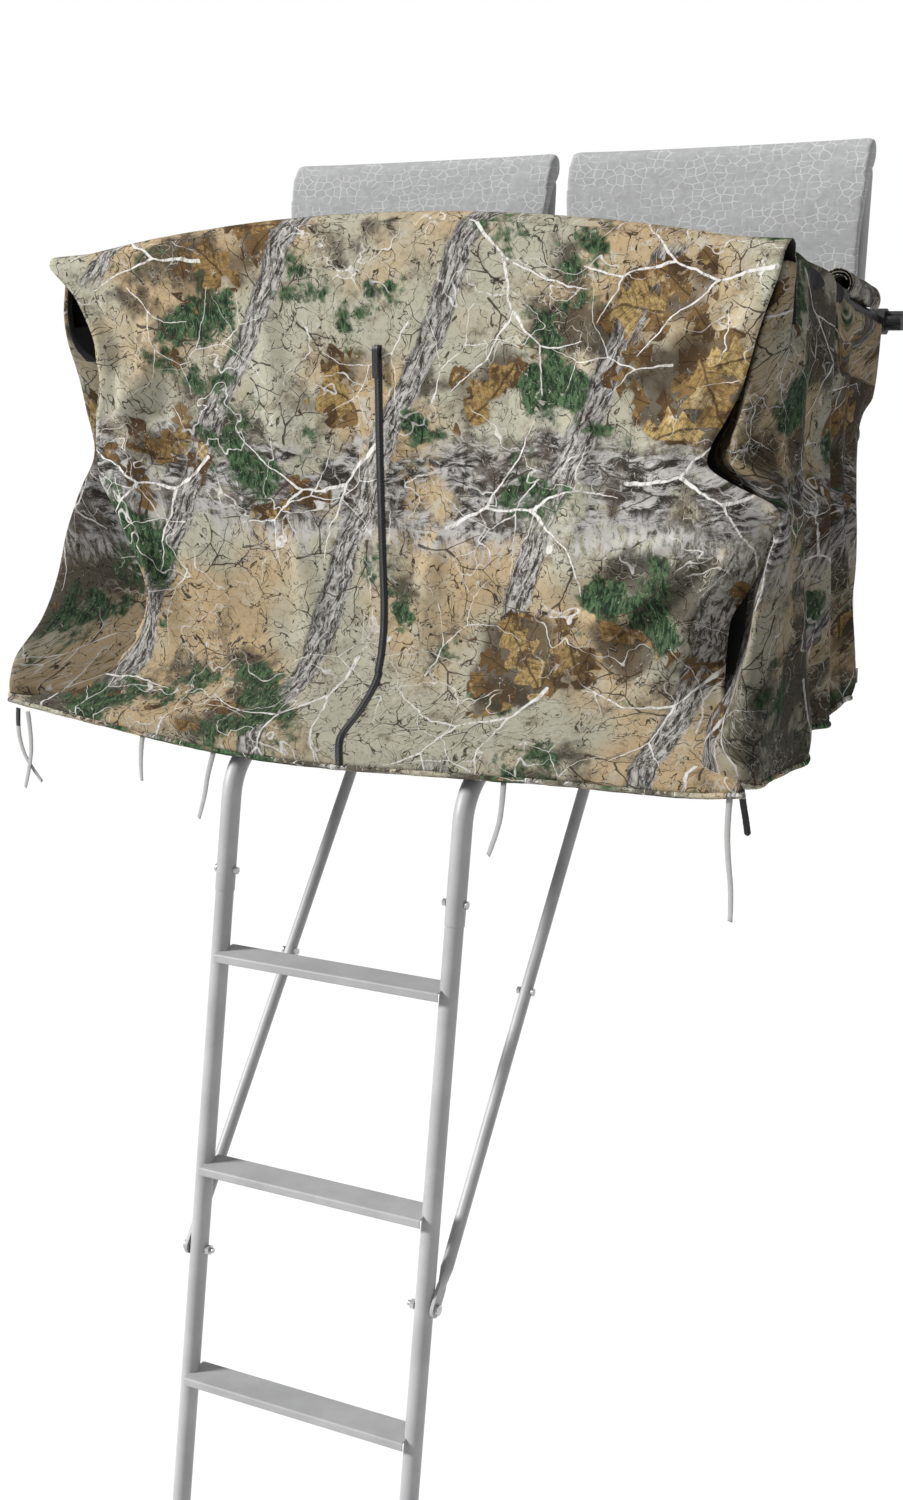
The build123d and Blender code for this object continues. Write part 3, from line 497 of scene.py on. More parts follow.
STEEL = painted_steel("ladder_steel", (0.40, 0.40, 0.405))
ZINC = zinc("bolt_steel")
BLACK_PLASTIC = plain_plastic("black_plastic", (0.012, 0.012, 0.013), 0.42)
BLACK_FOAM = closed_foam("black_foam", (0.010, 0.010, 0.011))
BLACK_RUBBER = plain_plastic("black_rubber", (0.014, 0.014, 0.014), 0.75, 250.0)
BACK_FABRIC = reptile_fabric("back_fabric", (0.375, 0.377, 0.381), (0.56, 0.562, 0.565))
SEAT_FABRIC = reptile_fabric("seat_fabric", (0.17, 0.17, 0.175), (0.27, 0.27, 0.275))
CAMO = camouflage("camo_fabric")
# The same print with painted shade, darkened to 0.58 of its colour, for the side panels and the arm rolls.
SIDE_CAMO_PAINTED_SHADE = camouflage("camo_fabric_side_painted_shade", 0.58)
LINING = coated_cloth("blind_lining", (0.010, 0.009, 0.008))
TIE_FABRIC = webbing("tie_fabric", (0.46, 0.46, 0.455), 0.0016)
BLACK_WEBBING = webbing("black_webbing", (0.018, 0.018, 0.019))
ZIPPER_BLACK = webbing("zipper_black", (0.010, 0.011, 0.013), 0.0012)

CAD_MATERIALS = {
    "ladder_joint_bolts": ZINC,
    "brace_bolts": ZINC,
    "rail_pivot_bolts": ZINC,
    "ratchet_body": ZINC,
    "ratchet_spool": ZINC,
    "ratchet_handle": BLACK_PLASTIC,
    "ladder_feet": BLACK_RUBBER,
    "rail_arm_left": BLACK_PLASTIC,
    "rail_arm_right": BLACK_PLASTIC,
    "rail_bracket_left": BLACK_PLASTIC,
    "rail_bracket_right": BLACK_PLASTIC,
    "rail_front_tube": BLACK_PLASTIC,
    "rail_knob_left": BLACK_PLASTIC,
    "rail_knob_right": BLACK_PLASTIC,
    "zipper_slider": BLACK_PLASTIC,
}
for node_name, node in NODES.items():
    node.data.materials.clear()
    node.data.materials.append(CAD_MATERIALS.get(node_name, STEEL))
    for polygon in node.data.polygons:
        polygon.material_index = 0


# Meshes


def new_mesh(name, points, faces, cloth):
    """An object with a smooth mesh, and the place of each point on the flat cloth."""
    mesh = bpy.data.meshes.new(name)
    mesh.from_pydata([tuple(p) for p in points], [], faces)
    flat = mesh.attributes.new("cloth", "FLOAT_VECTOR", "POINT")
    for item, (across, along) in zip(flat.data, cloth):
        item.vector = (across, along, 0.0)
    for polygon in mesh.polygons:
        polygon.use_smooth = True
    made = bpy.data.objects.new(name, mesh)
    bpy.context.scene.collection.objects.link(made)
    return made


def grid(name, rows, cloth, closed=False):
    """A sheet through rows of points, each row as long as the others."""
    count = len(rows[0])
    points = [point for row in rows for point in row]
    flat = [place for row in cloth for place in row]
    faces = []
    for r in range(len(rows) - 1):
        for c in range(count if closed else count - 1):
            right = (c + 1) % count
            faces.append((r * count + c, r * count + right, (r + 1) * count + right, (r + 1) * count + c))
    return new_mesh(name, points, faces, flat)


def way_along(route):
    """How far each point of a route is from its start."""
    lengths = [0.0]
    for a, b in zip(route, route[1:]):
        lengths.append(lengths[-1] + (b - a).length)
    return lengths


def direction(route, i):
    """Which way a route runs at one of its points."""
    return (route[min(i + 1, len(route) - 1)] - route[max(i - 1, 0)]).normalized()


def turn_faces_out(piece, cap=0):
    """Turns the faces outwards, after closing both ends with faces of cap points, if there are any."""
    edit = bmesh.new()
    edit.from_mesh(piece.data)
    if cap:
        edit.verts.ensure_lookup_table()
        last = len(edit.verts) - cap
        edit.faces.new([edit.verts[k] for k in reversed(range(cap))])
        edit.faces.new([edit.verts[last + k] for k in range(cap)])
    bmesh.ops.recalc_face_normals(edit, faces=edit.faces)
    edit.to_mesh(piece.data)
    edit.free()


def thicken(piece, thickness, inner=None):
    """Gives a sheet its two faces and its rim; inner is the far face's material, where it isn't there yet."""
    solid = piece.modifiers.new("thickness", "SOLIDIFY")
    solid.thickness = thickness
    solid.offset = 0
    if inner is not None:
        piece.data.materials.append(inner)
    solid.material_offset = 1
    apply_modifiers(piece)


def apply_modifiers(piece):
    bpy.context.view_layer.update()
    mesh = bpy.data.meshes.new_from_object(piece.evaluated_get(bpy.context.evaluated_depsgraph_get()))
    piece.modifiers.clear()
    piece.data = mesh


def merge(piece, *others):
    """Makes the other objects part of this one."""
    whole = [piece, *others]
    with bpy.context.temp_override(active_object=piece, object=piece, selected_editable_objects=whole):
        bpy.ops.object.join()


def curve_through(pairs):
    """A smooth function through (place, value) pairs, level or steady past its ends."""
    places = [p for p, _ in pairs]
    values = [v for _, v in pairs]
    slopes = []
    for i in range(len(pairs)):
        low, high = max(0, i - 1), min(len(pairs) - 1, i + 1)
        slopes.append((values[high] - values[low]) / (places[high] - places[low]))

    def value_at(place):
        if place <= places[0]:
            return values[0]
        if place >= places[-1]:
            return values[-1]
        i = next(k for k in range(len(places) - 1) if place <= places[k + 1])
        span = places[i + 1] - places[i]
        t = (place - places[i]) / span
        start = values[i] * (2 * t**3 - 3 * t**2 + 1) + slopes[i] * span * (t**3 - 2 * t**2 + t)
        return start + values[i + 1] * (3 * t**2 - 2 * t**3) + slopes[i + 1] * span * (t**3 - t**2)

    return value_at


def smoothstep(low, high, value):
    t = min(1.0, max(0.0, (value - low) / (high - low)))
    return t * t * (3 - 2 * t)


def nurbs_route(points, steps=12):
    """Points along the smooth spline that these control points pull."""
    curve = bpy.data.curves.new("route", "CURVE")
    curve.dimensions = "3D"
    spline = curve.splines.new("NURBS")
    spline.points.add(len(points) - 1)
    for item, point in zip(spline.points, points):
        item.co = (*point, 1)
    spline.order_u = 3
    spline.use_endpoint_u = True
    spline.resolution_u = steps
    holder = bpy.data.objects.new("route", curve)
    bpy.context.scene.collection.objects.link(holder)
    bpy.context.view_layer.update()
    mesh = bpy.data.meshes.new_from_object(holder)
    route = [vertex.co.copy() for vertex in mesh.vertices]
    bpy.data.meshes.remove(mesh)
    bpy.data.objects.remove(holder)
    bpy.data.curves.remove(curve)
    return route


def ribbon(name, route, face, width, thickness, twist=0.0, round_end=False, fray=0.0):
    """A flat tape along a route. face is the way its broad side looks at the start, or None where the tape
    stands on edge; twist turns it by the end."""
    draw = random.Random(name)
    lengths = way_along(route)
    rows, flat = [], []
    half = width / 2
    near = half * 0.92
    profile = [(-half, 0), (-near, 1), (0, 1.12), (near, 1), (half, 0), (near, -1), (0, -0.88), (-near, -1)]
    for i, centre in enumerate(route):
        along = direction(route, i)
        if face is None:
            side = Vector((0, 0, 1))
        else:
            turned = Matrix.Rotation(twist * lengths[i] / lengths[-1], 3, along) @ Vector(face)
            side = along.cross(turned).normalized()
        out = side.cross(along).normalized()
        narrow = 1.0
        left = lengths[-1] - lengths[i]
        if round_end and left < half:
            narrow = math.sqrt(max(0.02, 1 - (1 - left / half) ** 2))
        edge = 1 + fray * draw.uniform(-1, 1)
        rows.append([centre + side * x * narrow * edge + out * y * thickness / 2 for x, y in profile])
        flat.append([(x, lengths[i]) for x, _ in profile])
    piece = grid(name, rows, flat, closed=True)
    turn_faces_out(piece, len(profile))
    return piece, lengths[-1]


def bead(name, route, radius, sides, cloth_shift):
    """A round bead along a route; radius is a function of the share of the way."""
    lengths = way_along(route)
    rows, flat = [], []
    for i, centre in enumerate(route):
        along = direction(route, i)
        side = along.cross(Vector((0, 0, 1)) if abs(along.z) < 0.9 else Vector((0, 1, 0))).normalized()
        out = side.cross(along)
        r = radius(lengths[i] / lengths[-1])
        turns = [math.tau * k / sides for k in range(sides)]
        rows.append([centre + (side * math.cos(t) + out * math.sin(t)) * r for t in turns])
        flat.append([(cloth_shift[0] + lengths[i], cloth_shift[1] + r * t) for t in turns])
    piece = grid(name, rows, flat, closed=True)
    turn_faces_out(piece, sides)
    return piece


# Cords: the flat ties that hang from the blind's hem, and the end of the strap at its right corner

TIE_WIDTH = 0.009
TIES = {
    "tie_corner_rear": (
        -0.897, ((-0.600, 0.032), (-0.604, 0.003), (-0.599, -0.033), (-0.585, -0.060), (-0.561, -0.086))
    ),
    "tie_corner_front": (-0.901, ((-0.578, 0.029), (-0.573, -0.016), (-0.580, -0.060), (-0.593, -0.098))),
    "tie_left_short": (-0.899, ((-0.355, 0.010), (-0.363, -0.024), (-0.361, -0.062))),
    "tie_left_long": (-0.899, ((-0.222, 0.002), (-0.236, -0.036), (-0.243, -0.075), (-0.256, -0.110))),
    "tie_middle": (-0.899, ((0.265, 0.004), (0.262, -0.032), (0.256, -0.066), (0.240, -0.106))),
    "tie_right_long": (
        -0.899, ((0.596, 0.031), (0.592, -0.018), (0.595, -0.068), (0.601, -0.112), (0.600, -0.152))
    ),
}
BLACK_TOPS = {"tie_corner_rear": 0.032, "tie_right_long": 0.012}
STRAP_END_X = 0.6045
STRAP_END = ((-0.880, 0.027), (-0.870, 0.004), (-0.856, -0.021), (-0.846, -0.046))
RAIL_LEVEL = 0.70


def gather(piece):
    """Gives the piece a mesh of its own."""
    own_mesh(piece)


def make_tie(name, points, face, material, twist=0.0, round_end=False, black_top=0.0):
    route = nurbs_route(points)
    piece, length = ribbon(name, route, face, TIE_WIDTH, 0.0015, twist, round_end, 0.04)
    piece.data.materials.append(material)
    piece.data.materials.append(BLACK_WEBBING)
    places = piece.data.attributes["cloth"].data
    for polygon in piece.data.polygons:
        if max(places[v].vector.y for v in polygon.vertices) < black_top:
            polygon.material_index = 1
    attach(piece, "shooting_rail")
    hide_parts(name)
    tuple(points[0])
    gather(piece)
    return piece


for tie_name, (depth, places) in TIES.items():
    top = BLACK_TOPS.get(tie_name, 0.0)
    tie = make_tie(tie_name, [(x, depth, z) for x, z in places], (0, -1, 0), TIE_FABRIC, 0.5, black_top=top)
strap_end = make_tie(
    "strap_end", [(STRAP_END_X, y, z) for y, z in STRAP_END], (0.3, -1, 0), BLACK_WEBBING, 0.0, True
)


# Blind

RAIL_Y = -0.735
WRAP_R = 0.0245
ARM_X = 0.580
CLOTH_THICK = 0.0016
PANEL_HALF = 0.607


def rail_height(x):
    """Centre of the arched front tube, and of the arm's bend beyond it."""
    return 0.7603 - 0.0464 * min(1.0, abs(x) / 0.53) ** 2 - 0.06 * max(0.0, abs(x) - 0.53)


def hem_height(x):
    """The hem's level: it sags towards the middle and is lower at its right end than at its left."""
    arch = -0.001 + 0.046 * abs(x / PANEL_HALF) ** 1.7 + 0.003 * math.sin(9 * x + 0.4)
    return arch - 0.016 * smoothstep(0.30, 0.60, x)


# Where the front panel's free edges are at each height, from the hem up. Above the waist they curl in as a
# flap, and below it a fold leads them in again before the hem takes them out to the corner.
LEFT_EDGE = curve_through(
    (
        (0.00, -0.622), (0.05, -0.612), (0.09, -0.548), (0.13, -0.476), (0.21, -0.448), (0.27, -0.462),
        (0.34, -0.492), (0.41, -0.516), (0.50, -0.503), (0.563, -0.490), (0.60, -0.492), (0.640, -0.517),
        (0.675, -0.545), (0.700, -0.575), (0.715, -0.592), (0.73, -0.600),
    )
)
RIGHT_EDGE = curve_through(
    (
        (0.00, 0.620), (0.035, 0.614), (0.06, 0.592), (0.083, 0.560), (0.119, 0.541), (0.144, 0.536),
        (0.191, 0.535), (0.234, 0.541), (0.267, 0.562), (0.317, 0.588), (0.360, 0.606), (0.388, 0.604),
        (0.412, 0.560), (0.440, 0.514), (0.470, 0.520), (0.500, 0.535), (0.542, 0.555), (0.612, 0.575),
        (0.660, 0.589), (0.690, 0.598), (0.73, 0.606),
    )
)
LEFT_WAIST = (-0.520, 0.415)
RIGHT_WAIST = (0.588, 0.380)


def ray_fold(x, z, start, angle, length, width, height):
    """A ridge that runs from start at an angle, widens and dies away."""
    dx, dz = x - start[0], z - start[1]
    turn = math.radians(angle)
    along = dx * math.cos(turn) + dz * math.sin(turn)
    if along <= 0:
        return 0.0
    across = -dx * math.sin(turn) + dz * math.cos(turn)
    wide = width * (0.35 + along / length)
    rise = smoothstep(0, 0.25 * length, along) * (1 - smoothstep(0.55 * length, 1.15 * length, along))
    return height * rise * math.exp(-((across / wide) ** 2))


FRONT_FOLDS = (
    # start, angle from +X, length, width, height towards the viewer
    (RIGHT_WAIST, 238, 0.34, 0.026, 0.026),
    (RIGHT_WAIST, 217, 0.42, 0.032, 0.022),
    (RIGHT_WAIST, 199, 0.36, 0.026, 0.017),
    (RIGHT_WAIST, 184, 0.28, 0.022, 0.014),
    (RIGHT_WAIST, 168, 0.34, 0.028, 0.018),
    (RIGHT_WAIST, 148, 0.32, 0.028, 0.015),
    (RIGHT_WAIST, 128, 0.30, 0.026, 0.012),
    (LEFT_WAIST, -62, 0.36, 0.028, 0.024),
    (LEFT_WAIST, -40, 0.40, 0.034, 0.018),
    (LEFT_WAIST, -14, 0.30, 0.026, 0.012),
    (LEFT_WAIST, 20, 0.30, 0.028, 0.013),
    (LEFT_WAIST, 52, 0.28, 0.028, 0.014),
    ((-0.585, 0.71), -52, 0.34, 0.026, 0.016),
    ((-0.585, 0.71), -28, 0.40, 0.028, 0.010),
    ((0.59, 0.70), -118, 0.34, 0.028, 0.016),
    ((0.59, 0.70), -146, 0.36, 0.030, 0.010),
    ((0.36, 0.74), -98, 0.46, 0.026, 0.010),
    ((0.22, 0.75), -82, 0.40, 0.022, 0.007),
    ((-0.20, 0.75), -84, 0.44, 0.028, 0.009),
    ((-0.38, 0.74), -100, 0.40, 0.024, 0.007),
    ((0.10, 0.36), -104, 0.28, 0.028, 0.010),
    ((-0.16, 0.34), -78, 0.26, 0.026, 0.009),
    ((0.34, 0.30), -70, 0.24, 0.026, 0.009),
    ((-0.34, 0.12), 8, 0.40, 0.014, 0.006),
    ((0.50, 0.10), 176, 0.44, 0.014, 0.007),
)


def front_section(x):
    """The front panel's line from its tail behind the rail, over it and down to the hem, as (y, z) points."""
    centre = rail_height(x)
    points = [(RAIL_Y + WRAP_R + 0.004, centre - 0.085), (RAIL_Y + WRAP_R + 0.001, centre - 0.04)]
    for step in range(9):
        turn = math.pi * step / 8
        points.append((RAIL_Y + WRAP_R * math.cos(turn), centre + WRAP_R * math.sin(turn)))
    hem = hem_height(x)
    points += [
        (-0.7615, 0.60), (-0.7625, 0.45), (-0.760, 0.30), (-0.758, 0.22), (-0.764, 0.165), (-0.786, 0.112),
        (-0.838, 0.072), (-0.884, 0.050), (-0.9005, 0.036 + hem * 0.3), (-0.902, hem),
    ]
    return points


def even_line(points, count):
    """The same line as count evenly spaced points."""
    fine = []
    smooth_y = curve_through([(i, p[0]) for i, p in enumerate(points)])
    smooth_z = curve_through([(i, p[1]) for i, p in enumerate(points)])
    for i in range((len(points) - 1) * 10 + 1):
        fine.append(Vector((smooth_y(i / 10), smooth_z(i / 10))))
    lengths = way_along(fine)
    line, k = [], 0
    for i in range(count):
        goal = lengths[-1] * i / (count - 1)
        while k < len(fine) - 2 and lengths[k + 1] < goal:
            k += 1
        share = (goal - lengths[k]) / max(1e-9, lengths[k + 1] - lengths[k])
        line.append(fine[k].lerp(fine[k + 1], min(1.0, share)))
    return line, lengths[-1]


def ripple(x, z, seed):
    """Small uneven waves of cloth that hangs, about -1 to 1."""
    broad = noise.noise(Vector((x * 3.2, z * 1.7, seed)))
    middle = noise.noise(Vector((x * 8.5, z * 5.0, seed + 4)))
    fine = noise.noise(Vector((x * 24.0, z * 19.0, seed + 9)))
    return broad + 0.42 * middle + 0.12 * fine


FRONT_COLUMNS, FRONT_ROWS = 170, 136
HEM_R = 0.0042


def add_hem(piece, edge, seed):
    """The rolled hem along the lower edge, thick enough for a drawcord."""
    route = []
    for i, point in enumerate(edge):
        lumps = 0.0009 * noise.noise(Vector((i * 0.21, seed, 3.0)))
        route.append(point + Vector((0, 0, lumps - HEM_R * 0.5)))

    def radius(share):
        return HEM_R * (1 + 0.16 * noise.noise(Vector((share * 60, seed, 1.0))))

    hem = bead("hem", route, radius, 10, (0.2, 0.9))
    hem.data.materials.append(CAMO)
    merge(piece, hem)


def make_blind_front():
    rows = [[] for _ in range(FRONT_ROWS)]
    cloth = [[] for _ in range(FRONT_ROWS)]
    for c in range(FRONT_COLUMNS):
        u = -1 + 2 * c / (FRONT_COLUMNS - 1)
        x0 = u * PANEL_HALF
        line, length = even_line(front_section(x0), FRONT_ROWS)
        for r, (y, z) in enumerate(line):
            before_rail = y > RAIL_Y and z < rail_height(x0)
            edge_z = 0.73 if before_rail else z
            edge = LEFT_EDGE(edge_z) if u < 0 else RIGHT_EDGE(edge_z)
            pull = smoothstep(0.58, 1.0, abs(u)) ** 1.3
            x = x0 + (edge - math.copysign(PANEL_HALF, u)) * pull
            free = smoothstep(RAIL_LEVEL + 0.02, RAIL_LEVEL - 0.10, z) * (0 if before_rail else 1)
            held = 1 - 0.75 * smoothstep(0.10, 0.05, z)
            held *= smoothstep(0.012, 0.055, abs(x0)) if z > 0.12 else 1
            wave = 0.0115 * ripple(x0, z, 2.0)
            for start, angle, reach, width, height in FRONT_FOLDS:
                wave += ray_fold(x, z, start, angle, reach, width, height)
            curl = 0.012 * smoothstep(0.93, 1.0, abs(u)) * smoothstep(0.42, 0.5, z)
            tuck = 0.020 * smoothstep(0.90, 1.0, abs(u)) * smoothstep(0.40, 0.34, z)
            tuck *= smoothstep(0.05, 0.10, z)
            y -= (wave * held + curl - tuck) * free
            rows[r].append(Vector((x, y, z)))
            cloth[r].append((x, length * (1 - r / (FRONT_ROWS - 1))))
    piece = grid("blind_front_cloth", rows, cloth)
    piece.data.flip_normals()
    piece.data.materials.append(CAMO)
    thicken(piece, CLOTH_THICK, LINING)
    add_hem(piece, rows[-1], 0.3)
    middle = FRONT_COLUMNS // 2
    zip_line = [(row[middle - 1] + row[middle]) / 2 for row in rows]
    return piece, zip_line


# The side panels, as the line of their front margin, corner and first stretch of side at each height.
# Each row is a height, then (x, y) from the margin behind the front panel to the flat of the side.
RIGHT_CORNER = (
    (0.690, ((0.555, -0.725), (0.584, -0.735), (0.600, -0.732), (0.606, -0.700))),
    (0.640, ((0.530, -0.722), (0.564, -0.730), (0.584, -0.752), (0.603, -0.705))),
    (0.580, ((0.490, -0.712), (0.548, -0.724), (0.572, -0.765), (0.598, -0.712))),
    (0.500, ((0.455, -0.705), (0.526, -0.720), (0.558, -0.772), (0.594, -0.716))),
    (0.440, ((0.440, -0.705), (0.505, -0.724), (0.548, -0.774), (0.596, -0.718))),
    (0.400, ((0.480, -0.710), (0.550, -0.735), (0.590, -0.762), (0.604, -0.720))),
    (0.360, ((0.540, -0.715), (0.584, -0.738), (0.612, -0.754), (0.608, -0.720))),
    (0.300, ((0.520, -0.705), (0.576, -0.735), (0.602, -0.770), (0.612, -0.724))),
    (0.250, ((0.500, -0.700), (0.560, -0.726), (0.590, -0.775), (0.608, -0.727))),
    (0.190, ((0.490, -0.700), (0.553, -0.722), (0.582, -0.782), (0.604, -0.735))),
    (0.120, ((0.490, -0.715), (0.545, -0.750), (0.578, -0.815), (0.606, -0.775))),
    (0.060, ((0.500, -0.790), (0.550, -0.835), (0.592, -0.874), (0.616, -0.838))),
    (0.020, ((0.520, -0.862), (0.565, -0.886), (0.608, -0.898), (0.624, -0.864))),
)
LEFT_CORNER = (
    (0.690, ((-0.576, -0.728), (-0.580, -0.734), (-0.588, -0.730), (-0.604, -0.700))),
    (0.640, ((-0.574, -0.734), (-0.580, -0.740), (-0.588, -0.738), (-0.602, -0.705))),
    (0.590, ((-0.556, -0.738), (-0.566, -0.744), (-0.578, -0.742), (-0.592, -0.706))),
    (0.550, ((-0.500, -0.737), (-0.530, -0.744), (-0.562, -0.742), (-0.584, -0.709))),
    (0.490, ((-0.460, -0.738), (-0.510, -0.744), (-0.540, -0.742), (-0.574, -0.712))),
    (0.420, ((-0.470, -0.738), (-0.506, -0.742), (-0.524, -0.740), (-0.562, -0.712))),
    (0.350, ((-0.450, -0.730), (-0.510, -0.736), (-0.562, -0.745), (-0.585, -0.712))),
    (0.270, ((-0.420, -0.725), (-0.500, -0.734), (-0.592, -0.750), (-0.606, -0.715))),
    (0.180, ((-0.400, -0.728), (-0.495, -0.738), (-0.612, -0.760), (-0.616, -0.725))),
    (0.110, ((-0.420, -0.742), (-0.510, -0.762), (-0.620, -0.798), (-0.620, -0.758))),
    (0.060, ((-0.450, -0.800), (-0.540, -0.838), (-0.620, -0.866), (-0.622, -0.826))),
    (0.020, ((-0.500, -0.858), (-0.565, -0.876), (-0.616, -0.894), (-0.620, -0.856))),
)
REAR_EDGE = curve_through(
    (
        (-0.01, -0.425), (0.05, -0.400), (0.30, -0.362), (0.490, -0.330), (0.53, -0.305), (0.57, -0.250),
        (0.70, -0.240),
    )
)
SIDE_HEM = curve_through(
    (
        (-0.90, 0.040), (-0.86, 0.030), (-0.81, 0.022), (-0.70, 0.017), (-0.62, 0.024), (-0.57, 0.043),
        (-0.46, 0.046), (-0.43, 0.066),
    )
)
SIDE_COLUMNS, SIDE_ROWS = 104, 92


def arm_height(y):
    """Centre of the shooting rail's arm."""
    return 0.622 + (-0.200 - y) / 0.535 * 0.083


def side_folds(y, z, seed):
    """How far the side stands out in upright folds that deepen towards the hem."""
    drop = smoothstep(0.68, 0.10, z)
    folds = (
        (-0.66, 0.030, 0.011), (-0.585, 0.018, -0.008), (-0.53, 0.024, 0.012), (-0.475, 0.016, -0.009),
        (-0.43, 0.020, 0.008), (-0.385, 0.014, -0.010),
    )
    out = 0.0
    for place, width, height in folds:
        bent = place + 0.03 * (0.5 - z) + 0.010 * math.sin(7 * z + 40 * place)
        out += height * math.exp(-(((y - bent) / width) ** 2))
    return out * (0.45 + 0.75 * drop) + 0.004 * ripple(y * 1.5, z, seed)


WRAP_ROWS = 15
# Front columns of the side panel whose outer face gets the dark lining as painted shade, in the gap behind
# the front panel.
SHADED_MARGIN_COLUMNS = 11


def wrap_share(y):
    """How far the side panel's top goes round the arm's foam; 1 is over it and down inside."""
    return smoothstep(-0.452, -0.478, y) * smoothstep(-0.715, -0.690, y)


def make_blind_side(name, side):
    corner = LEFT_CORNER if side < 0 else RIGHT_CORNER
    levels = sorted(corner)
    tracks = [
        [curve_through([(z, row[k][axis]) for z, row in levels]) for axis in (0, 1)] for k in range(4)
    ]
    rows, cloth = [], []
    top = 0.705
    for r in range(SIDE_ROWS):
        share = r / (SIDE_ROWS - 1)
        row, flat = [], []
        level = top * (1 - share)
        anchors = [Vector((fx(level), fy(level))) for fx, fy in tracks]
        rear = REAR_EDGE(level)
        start = anchors[-1]
        for k in range(1, 7):
            part = k / 6
            y = start.y + (rear - start.y) * part
            out = 0.604 - 0.010 * math.sin(math.pi * smoothstep(0.1, 0.8, level))
            flare = 0.016 * smoothstep(0.80, 1.0, part) * smoothstep(0.60, 0.10, level)
            anchors.append(Vector((side * (out + flare), y)))
        fx = curve_through([(i, p.x) for i, p in enumerate(anchors)])
        fy = curve_through([(i, p.y) for i, p in enumerate(anchors)])
        last = len(anchors) - 1
        travelled, before = 0.0, None
        for c in range(SIDE_COLUMNS):
            i = last * c / (SIDE_COLUMNS - 1)
            x, y = fx(i), fy(i)
            hem = SIDE_HEM(y)
            hem += max(0.0, hem_height(x) + 0.004 - hem) * smoothstep(4.0, 2.4, i)
            over = wrap_share(y)
            open_top = arm_height(y) - 0.016
            ceiling = open_top + (arm_height(y) - open_top) * over
            if y < -0.70:
                ceiling = min(arm_height(y), rail_height(0.56)) - 0.004
            z = ceiling + (hem - ceiling) * share
            flat_part = smoothstep(2.6, 4.0, i)
            x += side * side_folds(y, z, 5.0 + side) * flat_part
            bulge = 0.018 * math.exp(-(((y + 0.70) / 0.12) ** 2)) * math.exp(-(((z - 0.06) / 0.07) ** 2))
            x += side * bulge * flat_part
            if r < WRAP_ROWS:
                turn = math.pi * over * (1 - r / WRAP_ROWS)
                near_arm = side * (ARM_X + WRAP_R)
                x += (near_arm - x) * over * (1 - r / WRAP_ROWS)
                x -= side * WRAP_R * (1 - math.cos(turn))
                z = ceiling - (ceiling - hem) * share * (1 - over)
                z += WRAP_R * math.sin(turn) + 0.0004 * (WRAP_ROWS - r)
            place = Vector((x, y, z))
            travelled += 0.0 if before is None else (place - before).length
            before = place
            row.append(place)
            flat.append((side * (0.45 + travelled), 0.10 + z))
        rows.append(row)
        cloth.append(flat)
    piece = grid(name, rows, cloth)
    # The side takes the print with painted shade.
    piece.data.materials.append(SIDE_CAMO_PAINTED_SHADE)
    piece.data.materials.append(LINING)
    # Painted shade: above a height (0.15 on the right, 0.57 on the left) the margin's faces behind the front
    # panel take the dark lining.
    for k, polygon in enumerate(piece.data.polygons):
        dark = SHADED_MARGIN_COLUMNS if polygon.center.z > (0.15 if side > 0 else 0.57) else 0
        polygon.material_index = 1 if k % (SIDE_COLUMNS - 1) < dark else 0
    if side > 0:
        piece.data.flip_normals()
    thicken(piece, CLOTH_THICK)
    add_hem(piece, rows[-1], 5.0 + side)
    return piece


blind_front, zip_line = make_blind_front()
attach(blind_front, "shooting_rail")
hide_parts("blind_front")
gather(blind_front)
for side_name, side_sign in SIDES:
    panel = make_blind_side(f"blind_side_{side_name}_cloth", side_sign)
    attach(panel, "shooting_rail")
    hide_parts(f"blind_side_{side_name}")
    gather(panel)


ROLL_Y = (-0.410, -0.250)
ROLL_TURNS = 2.35


def make_arm_roll(side):
    """Spare fabric rolled up along the top of the arm."""
    rows, cloth = [], []
    for r in range(30):
        share = r / 29
        y = ROLL_Y[0] + (ROLL_Y[1] - ROLL_Y[0]) * share
        row, flat = [], []
        travelled = 0.0
        for c in range(120):
            turn = ROLL_TURNS * c / 119
            angle = math.tau * turn + 0.6 * math.sin(3.2 * share + side)
            radius = 0.0125 + 0.0105 * (turn / ROLL_TURNS) ** 0.9
            spot = Vector((math.cos(angle) * 1.4, math.sin(angle) * 1.4, share * 5 + side))
            radius *= 1 + 0.07 * noise.noise(spot)
            radius *= 1 - 0.10 * math.exp(-(((share - 0.48) / 0.10) ** 2))
            across = radius * math.cos(angle)
            rise = 0.024 + radius * math.sin(angle)
            if abs(across) < 0.0142:
                rise = max(rise, 0.0136 + 0.0016 * turn)
            wavy = y + 0.002 * math.sin(angle * 2)
            row.append(Vector((side * (ARM_X + across), wavy, arm_height(y) + rise)))
            travelled += radius * math.tau * ROLL_TURNS / 119
            flat.append((0.3 + y, travelled + 0.2))
        rows.append(row)
        cloth.append(flat)
    piece = grid(f"arm_roll_{'left' if side < 0 else 'right'}", rows, cloth)
    # The roll takes the print with painted shade.
    piece.data.materials.append(SIDE_CAMO_PAINTED_SHADE)
    if side > 0:
        piece.data.flip_normals()
    thicken(piece, 0.0012)
    return piece


for side_name, side_sign in SIDES:
    roll = make_arm_roll(side_sign)
    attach(roll, "shooting_rail")


# Zipper: black tape with coil teeth down the front panel's middle

ZIP_TOP = 0.600
# A tooth as three rings: height above the tape, half width and half length
TOOTH = ((0.0002, 0.0024, 0.0011), (0.0012, 0.0022, 0.0010), (0.0016, 0.0012, 0.0006))


